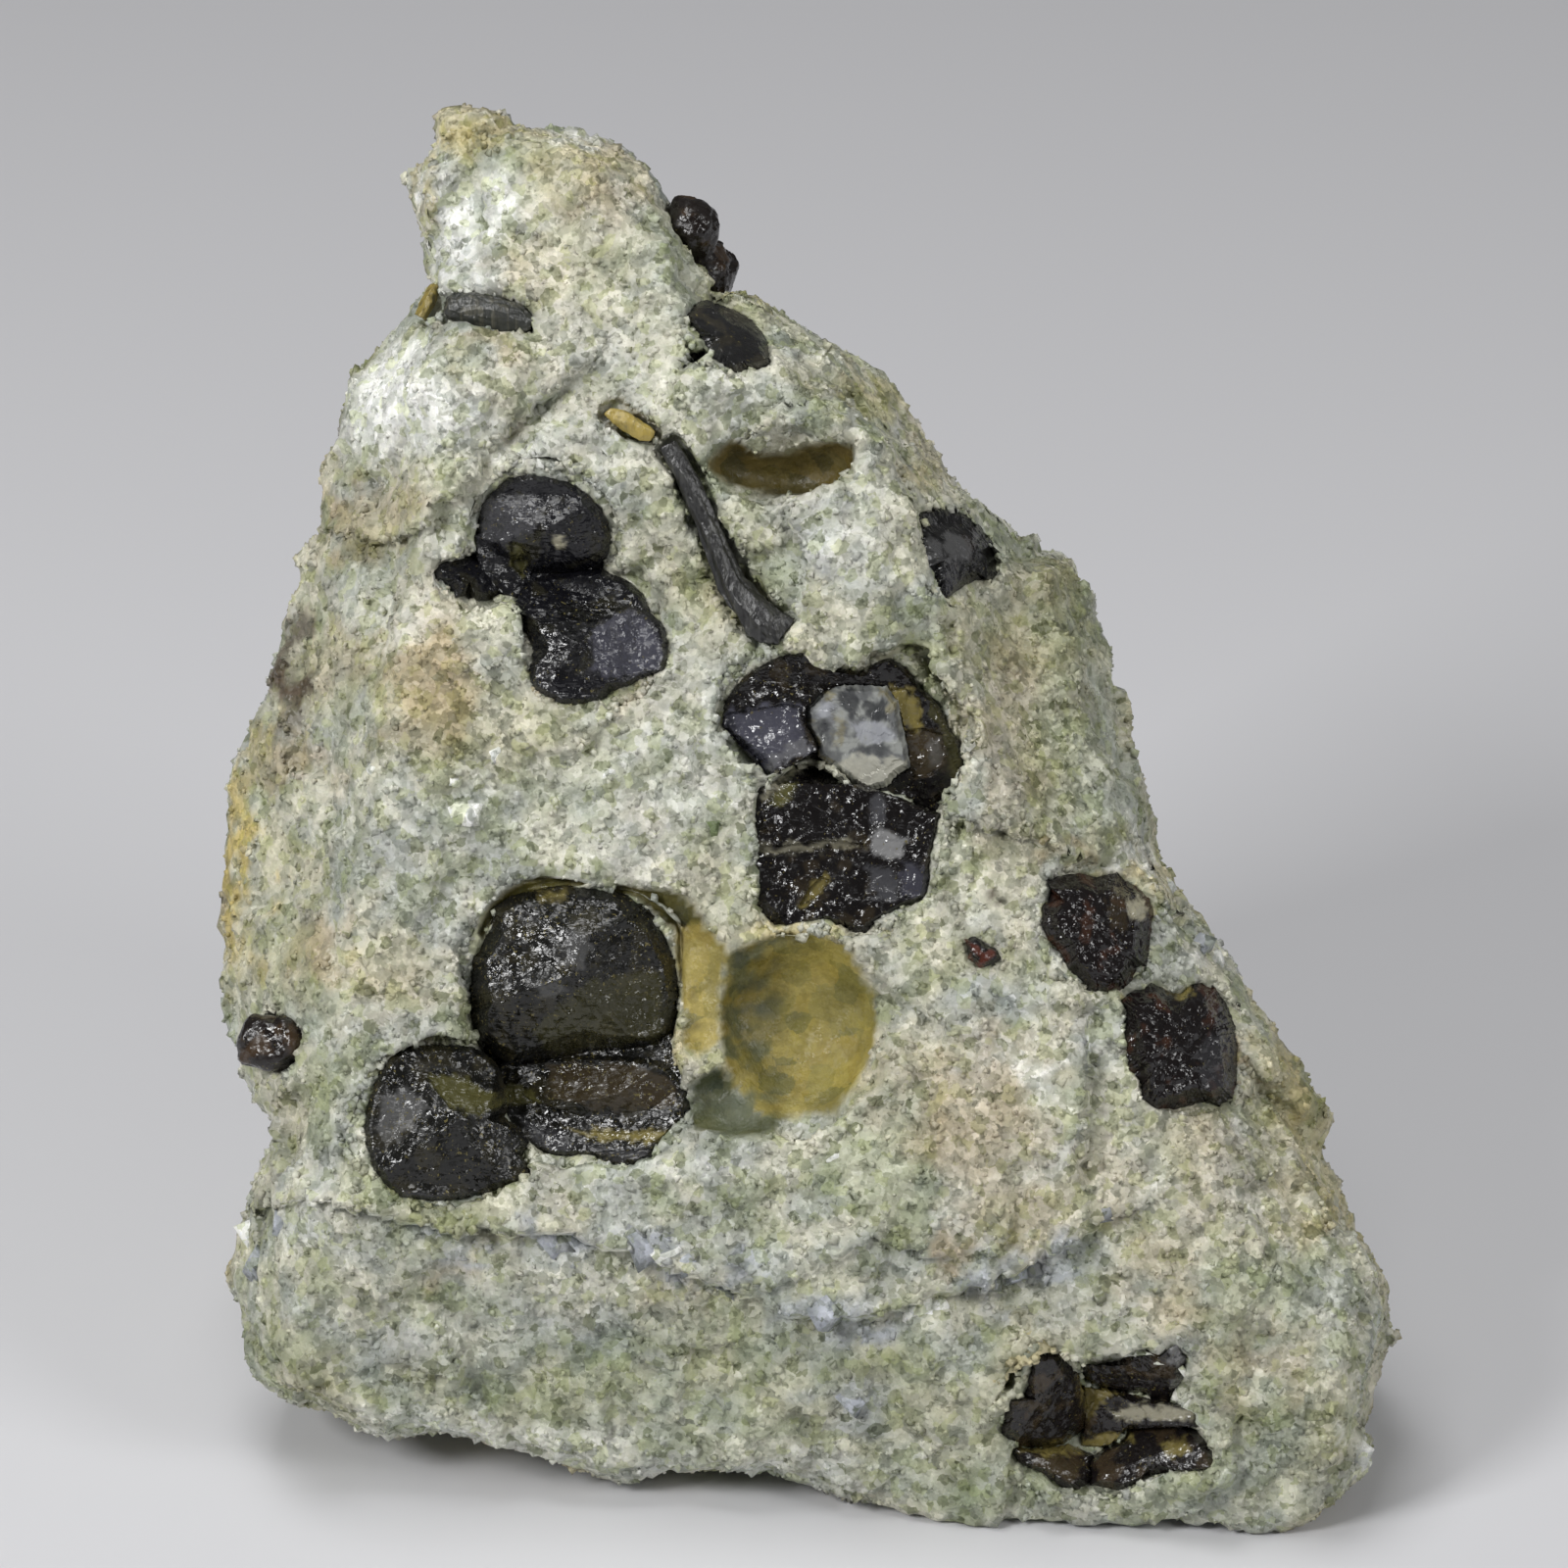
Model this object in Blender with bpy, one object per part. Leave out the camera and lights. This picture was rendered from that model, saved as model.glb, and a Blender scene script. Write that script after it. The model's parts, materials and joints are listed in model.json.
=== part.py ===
"""Garnets in their matrix: a hand specimen of pale granular rock, resting on its broken base.

The rock is drawn as it is seen from the front, in millimetres: u runs to the right, w runs up the leaning
face, and d comes forward to the eye. view_point turns such a point into the specimen's own frame, +Z up.
The rock is one solid. Every crystal and blade that grew in it is its own solid in a fitted socket.
"""
import itertools
import math

import bmesh
import bpy
import numpy as np
from mathutils import Euler, Matrix, Vector, geometry, noise

MM = 0.001

# How the drawing stands in space.
LEAN = math.radians(27.0)       # the front face leans back by this much from upright
EYE_DISTANCE = 450.0            # from the eye to the middle of the drawing
MIDDLE_HEIGHT = 43.0            # of the drawing's middle over the floor

# The rock's body.
FACE_LEVEL = 1.0                # depth d of the main face
# The back's three upright faces: how each slants across, and how far back it stands at the floor.
BACK_FACES = [(0.0, 29.0), (0.62, 38.0), (-0.78, 43.0)]
BACK_LEAN = 0.04                # and how much it comes forward for each millimetre of height
GRID_STEP = 0.85                # spacing of the drawn points
VOXEL = 0.65                    # even skin before it is thinned
ROCK_TRIANGLES = 3300           # after thinning, before the sockets are cut
BASE_TRIM = 0.5                 # taken off the underside, so that the specimen rests on a flat

# The crystals.
SOCKET_GAP = 0.3                # clearance between a crystal and its socket
MOULD_UNEVENNESS = 0.03
SMALLEST_EDGE = 0.20            # of a crystal, as a share of its half width
SEED = 7

# The rock's outline as seen from the front, clockwise from the knob's left corner.
KNOB_TOP = [
    (-21.8, 41.8), (-20.1, 41.9), (-18.0, 41.5), (-15.0, 40.6), (-12.6, 40.2), (-10.8, 39.4),
    (-8.7, 38.4), (-7.3, 37.5), (-7.1, 36.3),
]
UPPER_RIGHT_SLOPE = [
    (-6.6, 35.2), (-5.8, 33.0), (-4.7, 30.9), (-3.1, 29.9), (-0.6, 28.9), (3.0, 27.0), (4.5, 26.3),
    (6.0, 24.3), (8.4, 21.9), (10.2, 19.5), (12.0, 17.1), (13.8, 15.3), (14.5, 14.8),
]
RIGHT_FLANK = [
    (15.6, 15.0), (17.7, 14.6), (18.4, 13.9), (18.7, 12.0), (19.3, 9.6), (19.8, 7.2), (20.9, 4.8),
    (21.2, 2.4), (22.3, 0.0), (23.3, -1.9), (22.7, -3.6),
]
TONGUE = [
    (24.0, -5.6), (25.3, -7.5), (26.4, -9.0), (27.7, -10.7), (29.5, -13.8), (31.2, -16.8),
    (32.7, -19.2), (33.6, -20.5), (33.4, -21.6), (32.4, -22.3),
]
LOWER_RIGHT = [
    (33.6, -24.0), (34.8, -25.8), (35.5, -27.6), (36.3, -28.8), (37.1, -30.2), (37.4, -32.1),
    (37.1, -34.5), (36.5, -36.9), (35.8, -39.6), (35.3, -42.0), (34.2, -43.5), (33.0, -45.0),
    (31.2, -46.0), (29.9, -46.7),
]
FRONT_FOOT = [
    (28.1, -46.1), (26.4, -46.6), (25.3, -45.9), (20.4, -45.4), (18.0, -45.8), (12.0, -45.7),
    (9.0, -45.3), (6.0, -44.6), (3.6, -43.6), (1.6, -42.8), (0.7, -42.0), (-0.6, -41.6),
    (-2.4, -42.1), (-6.6, -42.7), (-9.6, -42.5), (-12.0, -41.9), (-18.0, -40.6), (-24.0, -39.8),
    (-27.6, -39.0), (-30.0, -37.8), (-31.2, -37.0), (-33.0, -36.1),
]
LEFT_SIDE = [
    (-33.2, -34.2), (-33.8, -30.6), (-33.5, -28.2), (-33.0, -26.1), (-32.6, -24.0), (-31.9, -22.3),
    (-31.4, -21.0), (-31.7, -19.8), (-32.8, -18.5), (-33.2, -15.6), (-33.6, -14.1), (-34.1, -12.0),
    (-34.4, -9.3), (-34.3, -6.6), (-34.0, -3.0), (-33.6, 0.0), (-33.4, 1.8), (-32.7, 3.3),
    (-32.1, 5.1), (-31.7, 7.1), (-31.1, 9.0), (-30.6, 10.7), (-29.9, 11.7), (-29.8, 12.9),
    (-29.0, 14.2), (-28.1, 15.0),
]
SHOULDER_AND_NECK = [
    (-28.0, 16.8), (-27.8, 18.6), (-28.0, 19.8), (-27.3, 20.7), (-27.2, 22.2), (-26.9, 23.7),
    (-26.0, 25.0), (-24.8, 26.4), (-23.9, 27.7), (-22.9, 29.3), (-22.0, 30.9), (-22.1, 33.3),
    (-22.5, 35.3), (-22.8, 36.7), (-22.6, 38.2), (-22.1, 39.7), (-22.0, 40.8),
]
OUTLINE = np.array(
    KNOB_TOP + UPPER_RIGHT_SLOPE + RIGHT_FLANK + TONGUE + LOWER_RIGHT + FRONT_FOOT + LEFT_SIDE
    + SHOULDER_AND_NECK
)

# How deep the rock's rim lies where its front meets its back, by place: (u, w, depth).
RIM_DEPTHS = np.array([
    (-22.0, 41.0, -8.0), (-7.0, 36.0, -9.0), (4.0, 26.0, -11.0), (18.0, 14.0, -15.0),
    (23.0, -2.0, -14.0), (33.0, -20.0, -9.0), (37.0, -32.0, -9.0), (30.0, -46.0, -3.2),
    (12.0, -45.0, -4.0), (0.0, -41.0, -5.5), (-14.0, -41.0, -6.0), (-27.0, -39.0, -8.0),
    (-33.5, -30.0, -10.0), (-34.0, -9.0, -11.0), (-28.0, 18.0, -9.0), (-22.5, 30.0, -8.0),
])

# Fracture planes that bound the front: (name, slope in u, slope in w, depth at the drawing's middle).
FRONT_PLANES = {
    "main face": (0.00, -0.02, FACE_LEVEL),
    "under the ledge": (0.09, 0.50, 17.7),
    "left cheek": (1.15, 0.06, 34.6),
    "knob face": (0.05, -0.28, 7.2),
    "low left corner": (1.30, -0.25, 33.5),
}
PLANE_BLEND = 0.5
# The right flank behind the ridge: (slope across u, slope across w, where it starts, depth lost for each
# millimetre further out). It falls from its upper edge at once, and below that by the gentler of two falls.
FLANK_UPPER = (0.56, 0.83, 20.8, 1.35)
FLANK_MIDDLE = (0.968, 0.25, 11.4, 1.35)
FLANK_LOWER = (0.84, 0.54, 9.2, 0.75)
FLANK_FOOT = (-42.0, -24.0)     # w over which the flank gives way to the lower face

# Swellings and hollows of the front: (u, w, half width, half height, turn in degrees, height).
SWELLINGS = {
    "white shoulder": (-22.0, 24.6, 7.5, 4.6, 15, 2.8),
    "knob brow": (-14.5, 37.4, 6.5, 3.2, -10, 0.9),
    "knob flute": (-19.6, 34.6, 1.8, 4.6, 0, -1.6),
    "rib beside the blade": (4.2, 12.6, 4.0, 8.0, 12, 1.8),
    "lump over the cup": (1.6, 22.8, 3.8, 1.7, -8, 1.3),
    "lump by the summit garnets": (-5.6, 24.4, 3.8, 3.6, 0, 1.2),
    "valley beside the blade": (-6.8, 11.4, 4.6, 7.6, 25, -2.2),
    "brow over the upper garnets": (-13.8, 21.4, 4.6, 1.7, 0, 1.1),
    "left belly": (-23.0, 1.0, 9.0, 11.0, 0, 1.4),
    "lower belly": (7.0, -23.0, 15.0, 9.0, 0, 2.2),
    "cream shelf": (-5.4, -23.4, 5.0, 2.2, 20, 1.3),
    "right cheek": (27.0, -28.0, 8.0, 7.0, 0, 1.2),
    "chin": (22.0, -42.5, 9.0, 3.0, 0, 1.2),
    "corner by the left edge": (-27.6, -26.4, 2.8, 2.6, 0, 1.2),
    "tongue": (30.2, -16.2, 2.2, 5.2, 32, 1.6),
    "right shoulder": (17.0, 13.0, 2.6, 3.0, 0, 1.8),
    "foot basin": (19.6, -39.0, 7.4, 4.8, -5, -1.6),
    "right basin": (19.2, -8.6, 5.0, 5.4, 0, -1.0),
}
# Moulds left by garnets that fell out: (u, w, height of the middle over the face, half width, half height,
# half depth, turn in degrees). Each is the shape of the lost crystal, cut out of the rock.
MOULDS = {
    "round": (0.9, -15.0, 2.3, 5.7, 5.8, 4.7, (20, 35, 10)),
    "beside_round": (-3.6, -19.2, 1.3, 3.6, 2.4, 2.6, (10, 5, 40)),
    "strip": (-4.9, -13.4, 1.6, 2.4, 4.4, 2.6, (30, 10, 20)),
    "around_largest": (-12.3, -11.5, 2.6, 7.9, 7.0, 5.2, (5, 25, 15)),
}
# The cup near the top, a smooth mould that goes in downwards, so that its near rim hides its near wall.
CUP = {"u": -0.1, "w": 19.8, "over": 0.4, "half": (4.7, 2.0, 4.2)}
CUP_LEAN = math.radians(-32)

# Splits in the rock: (points along the split, half width, depth).
SPLITS = {
    "under the tongue": ([(27.4, -18.2), (30.0, -19.4), (33.6, -23.2)], 0.9, 5.0),
    "behind the right garnet": ([(28.2, -14.2), (28.4, -17.4)], 0.6, 1.8),
    "under the white shoulder": ([(-17.8, 20.6), (-14.8, 23.4)], 0.8, 1.4),
    "beside the ridge garnet": ([(14.2, 11.0), (14.8, 15.4)], 0.9, 2.6),
    "over the rib": ([(-1.0, 21.6), (0.0, 23.0), (3.0, 23.2), (5.6, 22.3), (6.4, 19.6), (7.2, 17.2)], 0.5, 0.9),
}

# Lumps of the broken surface, smaller on the front than on the hidden sides.
CHIP_SIZE = 8.0
CHIP_TILT = 0.16
ROLL_SIZE = 5.0
ROLL_HEIGHT = 0.36
FRONT_SHARE = 0.45              # of those lumps that the front shows


def view_point(u, w, d):
    """A drawn point in metres. What lies nearer the eye is drawn larger than it is."""
    nearer = (EYE_DISTANCE - d) / EYE_DISTANCE
    up = w * nearer
    return Vector((
        u * nearer,
        up * math.sin(LEAN) - d * math.cos(LEAN),
        MIDDLE_HEIGHT + up * math.cos(LEAN) + d * math.sin(LEAN),
    )) * MM


def view_axes():
    """The drawing's three directions as columns: right, up the leaning face, and forward."""
    return Matrix((
        (1.0, 0.0, 0.0),
        (0.0, math.sin(LEAN), -math.cos(LEAN)),
        (0.0, math.cos(LEAN), math.sin(LEAN)),
    ))


def floor_depth(w):
    return -(w * math.cos(LEAN) + MIDDLE_HEIGHT) / math.sin(LEAN)


def smooth_step(low, high, value):
    t = np.clip((value - low) / (high - low), 0.0, 1.0)
    return t * t * (3.0 - 2.0 * t)


def distance_to_path(u, w, path, closed):
    """Distance from each drawn point to a line through the points of path."""
    ends = list(zip(path, path[1:])) + ([(path[-1], path[0])] if closed else [])
    nearest = np.full(u.shape, 1e9)
    for (au, aw), (bu, bw) in ends:
        run_u, run_w = bu - au, bw - aw
        share = ((u - au) * run_u + (w - aw) * run_w) / (run_u ** 2 + run_w ** 2)
        share = np.clip(share, 0.0, 1.0)
        nearest = np.minimum(nearest, np.hypot(u - au - share * run_u, w - aw - share * run_w))
    return nearest


def rim_depth(u, w):
    weight = 1.0 / ((u[:, None] - RIM_DEPTHS[:, 0]) ** 2 + (w[:, None] - RIM_DEPTHS[:, 1]) ** 2 + 1.0) ** 1.5
    return (weight * RIM_DEPTHS[:, 2]).sum(axis=1) / weight.sum(axis=1)


def soft_min(first, second, blend):
    """The lower of two depths, with the corner between them rounded over the blend."""
    share = np.clip(0.5 + 0.5 * (second - first) / blend, 0.0, 1.0)
    return second + (first - second) * share - blend * share * (1.0 - share)


def front_depth(u, w):
    """Depth d of the front, at each drawn point: fracture planes, then swellings and splits."""
    depth = np.full(u.shape, 50.0)
    for slope_u, slope_w, middle in FRONT_PLANES.values():
        depth = soft_min(depth, middle + slope_u * u + slope_w * w, PLANE_BLEND)
    upper, middle, lower = (
        fall * (across_u * u + across_w * w - start)
        for across_u, across_w, start, fall in (FLANK_UPPER, FLANK_MIDDLE, FLANK_LOWER)
    )
    flank = FACE_LEVEL - np.maximum(upper, np.minimum(middle, lower))
    behind = np.maximum(depth - soft_min(depth, flank, PLANE_BLEND), 0.0)
    depth = depth - behind * smooth_step(*FLANK_FOOT, w)
    for at_u, at_w, half_u, half_w, turn, height in SWELLINGS.values():
        turn = math.radians(turn)
        across = (u - at_u) * math.cos(turn) + (w - at_w) * math.sin(turn)
        along = (w - at_w) * math.cos(turn) - (u - at_u) * math.sin(turn)
        reach = np.clip(1.0 - (across / half_u) ** 2 - (along / half_w) ** 2, 0.0, 1.0)
        depth = depth + height * reach ** 1.3
    for path, half_width, sunk in SPLITS.values():
        depth = depth - sunk * (1.0 - smooth_step(0.2, half_width * 1.6, distance_to_path(u, w, path, False)))
    return depth


def face_depth(u, w):
    """Depth d of the front with its edges dressed down to the rim."""
    return soft_min(front_depth(u, w), rim_depth(u, w) + 4.5 * distance_to_path(u, w, OUTLINE, True), 1.4)


def back_depth(u, w):
    """Depth d of the hidden side: the floor, the upright back and the two slanted faces beside it."""
    lean_cos, lean_sin = math.cos(LEAN), math.sin(LEAN)
    depth = floor_depth(w)
    drawn_in = BACK_LEAN * (MIDDLE_HEIGHT + w * lean_cos)
    for skew, reach in BACK_FACES:
        depth = np.maximum(depth, (w * lean_sin - reach + drawn_in + skew * u) / lean_cos)
    return depth


def rock_relief():
    """Front and back of the rock as two reliefs over the same drawn triangles, joined along the outline."""
    rim = []
    for start, end in zip(OUTLINE, np.roll(OUTLINE, -1, axis=0)):
        pieces = max(1, round(float(np.hypot(*(end - start))) / GRID_STEP))
        rim += [start + (end - start) * i / pieces for i in range(pieces)]
    rim = np.array(rim)
    low, high = OUTLINE.min(axis=0), OUTLINE.max(axis=0)
    columns = np.arange(low[0], high[0], GRID_STEP)
    rows = np.arange(low[1], high[1], GRID_STEP * math.sqrt(3) / 2)
    grid = np.array([(u + (row % 2) * GRID_STEP / 2, w) for row, w in enumerate(rows) for u in columns])
    away = distance_to_path(grid[:, 0], grid[:, 1], OUTLINE, True)
    grid = grid[away > GRID_STEP * 0.45]
    drawn = [Vector(point) for point in np.concatenate([rim, grid])]
    points, _, faces, sources, _, _ = geometry.delaunay_2d_cdt(
        drawn, [], [list(range(len(rim)))[::-1]], 1, 1e-5
    )
    u, w = np.array(points).T
    on_rim = np.array([any(source < len(rim) for source in found) for found in sources])
    away = distance_to_path(u, w, OUTLINE, True)
    rim_at = rim_depth(u, w)
    front = face_depth(u, w)
    back = np.maximum(np.minimum(back_depth(u, w), rim_at - 0.8 * away), rim_at - 3.2 * away)
    front = np.maximum(front, back + 2.5 * np.minimum(away, 1.0))
    front[on_rim] = back[on_rim] = rim_at[on_rim]

    mesh = bmesh.new()
    front_verts = [mesh.verts.new(view_point(*at)) for at in zip(u, w, front)]
    back_verts = [
        front_verts[i] if on_rim[i] else mesh.verts.new(view_point(u[i], w[i], back[i]))
        for i in range(len(u))
    ]
    for face in faces:
        mesh.faces.new([front_verts[i] for i in face])
        mesh.faces.new([back_verts[i] for i in reversed(face)])
    bmesh.ops.recalc_face_normals(mesh, faces=mesh.faces)
    return mesh


def chip_offset(place, outward):
    """Height of the broken surface over its plane: tilted chips with small steps between, on a slow roll."""
    scaled = place / (CHIP_SIZE * MM)
    centre = noise.voronoi(scaled)[1][0]
    tilt = noise.cell_vector(centre * 3.7) - Vector((0.5, 0.5, 0.5))
    chip = (scaled - centre).dot(tilt) * CHIP_SIZE * CHIP_TILT
    roll = noise.fractal(place / (ROLL_SIZE * MM), 1.0, 2.0, 3) * ROLL_HEIGHT
    to_eye = Vector((0, -math.cos(LEAN), math.sin(LEAN)))
    share = 1.0 - (1.0 - FRONT_SHARE) * float(smooth_step(-0.1, 0.6, outward.dot(to_eye)))
    return (chip + roll) * share * MM


def stone_material(name, colour, roughness):
    material = bpy.data.materials.new(name)
    material.use_nodes = True
    surface = material.node_tree.nodes["Principled BSDF"]
    surface.inputs["Base Color"].default_value = (*colour, 1.0)
    surface.inputs["Roughness"].default_value = roughness
    surface.inputs["Metallic"].default_value = 0.0
    return material


def new_object(name, mesh, parent, material=None):
    data = bpy.data.meshes.new(name)
    mesh.to_mesh(data)
    mesh.free()
    made = bpy.data.objects.new(name, data)
    bpy.context.scene.collection.objects.link(made)
    made.parent = parent
    if material:
        data.materials.append(material)
    return made


def hide_cutter(cutter):
    cutter.hide_render = True
    cutter.display_type = "WIRE"
    return cutter


def evaluated_bmesh(source):
    """A copy of an object's mesh with its modifiers carried out."""
    graph = bpy.context.evaluated_depsgraph_get()
    mesh = bmesh.new()
    mesh.from_object(source, graph)
    return mesh


def make_rock(parent, material):
    relief = new_object("rock_relief", rock_relief(), parent)
    skin = relief.modifiers.new("even skin", "REMESH")
    skin.mode = "VOXEL"
    skin.voxel_size = VOXEL * MM
    mesh = evaluated_bmesh(relief)
    bpy.data.objects.remove(relief)
    mesh.normal_update()
    moved = [(vert, vert.normal * chip_offset(vert.co, vert.normal)) for vert in mesh.verts]
    for vert, offset in moved:
        vert.co += offset
    bmesh.ops.smooth_vert(mesh, verts=mesh.verts, factor=0.3, use_axis_x=True, use_axis_y=True, use_axis_z=True)
    bmesh.ops.triangulate(mesh, faces=mesh.faces)
    share = ROCK_TRIANGLES / len(mesh.faces)
    chipped = new_object("chipped_rock", mesh, parent)
    thinner = chipped.modifiers.new("thinner", "DECIMATE")
    thinner.ratio = share
    thinner.use_collapse_triangulate = True
    mesh = evaluated_bmesh(chipped)
    bpy.data.objects.remove(chipped)
    cut = bmesh.ops.bisect_plane(
        mesh, geom=[*mesh.verts, *mesh.edges, *mesh.faces], dist=1e-7,
        plane_co=(0, 0, BASE_TRIM * MM), plane_no=(0, 0, -1), clear_outer=True,
    )
    edges = [item for item in cut["geom_cut"] if isinstance(item, bmesh.types.BMEdge)]
    bmesh.ops.triangle_fill(mesh, use_beauty=True, use_dissolve=False, edges=edges)
    bmesh.ops.recalc_face_normals(mesh, faces=mesh.faces)
    return new_object("matrix_rock", mesh, parent, material)


def crystal_planes(turn, unevenness, broken, rng):
    """Face normals and distances of a garnet: twelve rhombic faces with their edges cut by the twenty-four."""
    normals = []
    for a, b in ((0, 1), (0, 2), (1, 2)):
        for sign_a in (-1, 1):
            for sign_b in (-1, 1):
                face = [0.0, 0.0, 0.0]
                face[a], face[b] = sign_a, sign_b
                normals.append((Vector(face).normalized(), 1.0))
    for long_axis in range(3):
        for signs in range(8):
            face = [1.0, 1.0, 1.0]
            face[long_axis] = 2.0
            face = [value if signs >> axis & 1 else -value for axis, value in enumerate(face)]
            normals.append((Vector(face).normalized(), 1.02))
    rotation = Euler([math.radians(angle) for angle in turn]).to_matrix()
    planes = [(rotation @ normal, distance * rng.uniform(1.0 - unevenness, 1.0)) for normal, distance in normals]
    if broken:
        planes.append((Vector((broken[0], broken[1], 1.0)).normalized(), broken[2]))
    return planes


def crystal_corners(planes):
    """The corners of the body that all the planes bound, each where three of them meet."""
    normals = np.array([normal for normal, _ in planes])
    distances = np.array([distance for _, distance in planes])
    trios = np.array(list(itertools.combinations(range(len(planes)), 3)))
    meeting = np.abs(np.linalg.det(normals[trios])) > 1e-3
    trios = trios[meeting]
    corners = np.linalg.solve(normals[trios], distances[trios][:, :, None])[:, :, 0]
    return corners[(corners @ normals.T <= distances + 1e-6).all(axis=1)]


def crystal_mesh(at, radii, planes, gap):
    """The body within a crystal's face planes, stretched to its radii and set at a drawn place."""
    mesh = bmesh.new()
    for corner in crystal_corners(planes):
        mesh.verts.new(corner)
    bmesh.ops.remove_doubles(mesh, verts=mesh.verts, dist=SMALLEST_EDGE)
    bmesh.ops.convex_hull(mesh, input=mesh.verts)
    loose = [vert for vert in mesh.verts if not vert.link_faces]
    bmesh.ops.delete(mesh, geom=loose, context="VERTS")
    stretch = Matrix.Diagonal([radius + gap for radius in radii])
    place = view_point(*at)
    for vert in mesh.verts:
        vert.co = place + view_axes() @ stretch @ vert.co * MM
    bmesh.ops.recalc_face_normals(mesh, faces=mesh.faces)
    return mesh


# Every garnet node and its crystals: (u, w, height of the middle over the face, half width, half height,
# half depth, turn in degrees, unevenness of its faces, broken face). A broken face is a flat across the
# front of the crystal: (lean in u, lean in w, share of the half depth), or None.
GARNETS = {
    "garnet_summit": [
        (-5.7, 33.9, -1.2, 1.6, 2.0, 2.2, (10, 20, 35), 0.08, None),
        (-4.9, 31.3, -1.2, 1.9, 2.0, 2.6, (50, 10, 15), 0.08, None),
    ],
    "garnet_below_summit": [
        (-3.3, 27.5, -0.9, 2.7, 2.3, 2.6, (25, 35, 40), 0.08, None),
    ],
    "garnet_group_upper": [
        (-14.7, 15.2, -1.3, 4.5, 4.3, 4.1, (12, 30, 22), 0.06, None),
        (-11.4, 8.9, -1.5, 4.4, 4.0, 4.2, (35, 5, 50), 0.06, (0.25, 0.15, 0.80)),
        (-18.8, 12.4, -0.7, 2.3, 1.4, 1.6, (5, 15, 70), 0.10, None),
    ],
    "garnet_ridge": [
        (10.7, 14.3, -0.7, 2.8, 2.9, 3.0, (20, 40, 10), 0.06, None),
    ],
    "garnet_group_centre": [
        (-0.7, 4.2, -1.6, 3.4, 4.0, 3.4, (30, 12, 18), 0.06, (-0.45, -0.35, 0.72)),
        (6.3, 3.2, -1.8, 4.9, 5.2, 3.8, (8, 25, 40), 0.06, (0.15, 0.10, 0.70)),
        (1.8, -1.5, -1.2, 3.5, 3.0, 3.4, (40, 18, 5), 0.09, None),
        (6.8, -3.5, -1.2, 2.9, 3.6, 3.3, (15, 45, 25), 0.08, None),
        (0.4, -6.2, -1.2, 2.3, 2.8, 2.6, (22, 8, 60), 0.09, None),
        (4.0, -6.2, -1.4, 3.0, 3.0, 3.0, (33, 27, 12), 0.09, None),
    ],
    "garnet_group_lower": [
        (-12.9, -11.9, -0.9, 6.6, 5.8, 5.4, (18, 22, 33), 0.04, None),
        (-20.6, -20.6, -1.2, 5.2, 4.9, 4.6, (42, 14, 20), 0.05, None),
        (-11.6, -20.0, -0.8, 5.7, 3.4, 3.8, (10, 33, 48), 0.08, (0.0, 0.35, 0.75)),
    ],
    "garnet_left_edge": [
        (-31.1, -15.8, -0.6, 2.3, 1.7, 2.6, (15, 5, 30), 0.08, (-0.3, 0.0, 0.7)),
    ],
    "garnet_right_upper": [
        (19.2, -8.6, -0.4, 3.5, 3.8, 3.1, (28, 17, 44), 0.08, None),
    ],
    "garnet_right_lower": [
        (24.2, -16.1, -0.3, 3.6, 4.0, 3.3, (12, 38, 16), 0.07, None),
    ],
    "garnet_foot": [
        (16.0, -37.2, -1.0, 2.8, 3.4, 2.2, (36, 9, 27), 0.09, (0.2, 0.3, 0.85)),
        (21.4, -36.4, -1.0, 3.9, 2.1, 2.0, (5, 28, 55), 0.10, (0.2, 0.4, 0.85)),
        (23.2, -40.3, -1.0, 3.5, 2.1, 1.9, (17, 41, 8), 0.09, (0.1, 0.2, 0.85)),
        (19.9, -41.3, -0.9, 2.4, 1.9, 1.7, (25, 11, 58), 0.09, None),
        (17.0, -41.2, -1.0, 3.0, 1.9, 1.7, (14, 31, 38), 0.09, None),
        (19.6, -38.6, -1.5, 4.6, 2.8, 2.2, (44, 21, 18), 0.06, (0.1, 0.1, 0.70)),
    ],
    "garnet_speck": [
        (12.3, -10.4, -0.1, 1.2, 1.0, 1.0, (30, 15, 45), 0.12, None),
    ],
}


def height_at(u, w):
    return float(face_depth(np.array([u]), np.array([w]))[0])


def make_garnet(name, crystals, parent, material, rock, rng):
    """One node: its first crystal with the others joined on, and a socket cut for each in the rock."""
    joined = None
    for index, (u, w, over, half_u, half_w, half_d, turn, uneven, broken) in enumerate(crystals):
        at = (u, w, height_at(u, w) + over)
        planes = crystal_planes(turn, uneven, broken, rng)
        crystal = new_object(name if index == 0 else f"{name}_with_{index}", crystal_mesh(
            at, (half_u, half_w, half_d), planes, 0.0), parent, material)
        socket = new_object(f"socket_{name}_{index}", crystal_mesh(
            at, (half_u, half_w, half_d), planes, SOCKET_GAP), parent)
        subtract(rock, hide_cutter(socket))
        if joined:
            union = joined.modifiers.new(f"crystal {index}", "BOOLEAN")
            union.operation = "UNION"
            union.object = hide_cutter(crystal)
        joined = joined or crystal
    return joined


def cut_mould(name, mould, parent, rock, rng):
    u, w, over, half_u, half_w, half_d, turn = mould
    planes = crystal_planes(turn, MOULD_UNEVENNESS, None, rng)
    at = (u, w, height_at(u, w) + over)
    lost = new_object(f"mould_{name}", crystal_mesh(at, (half_u, half_w, half_d), planes, 0.0), parent)
    subtract(rock, hide_cutter(lost))


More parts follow.
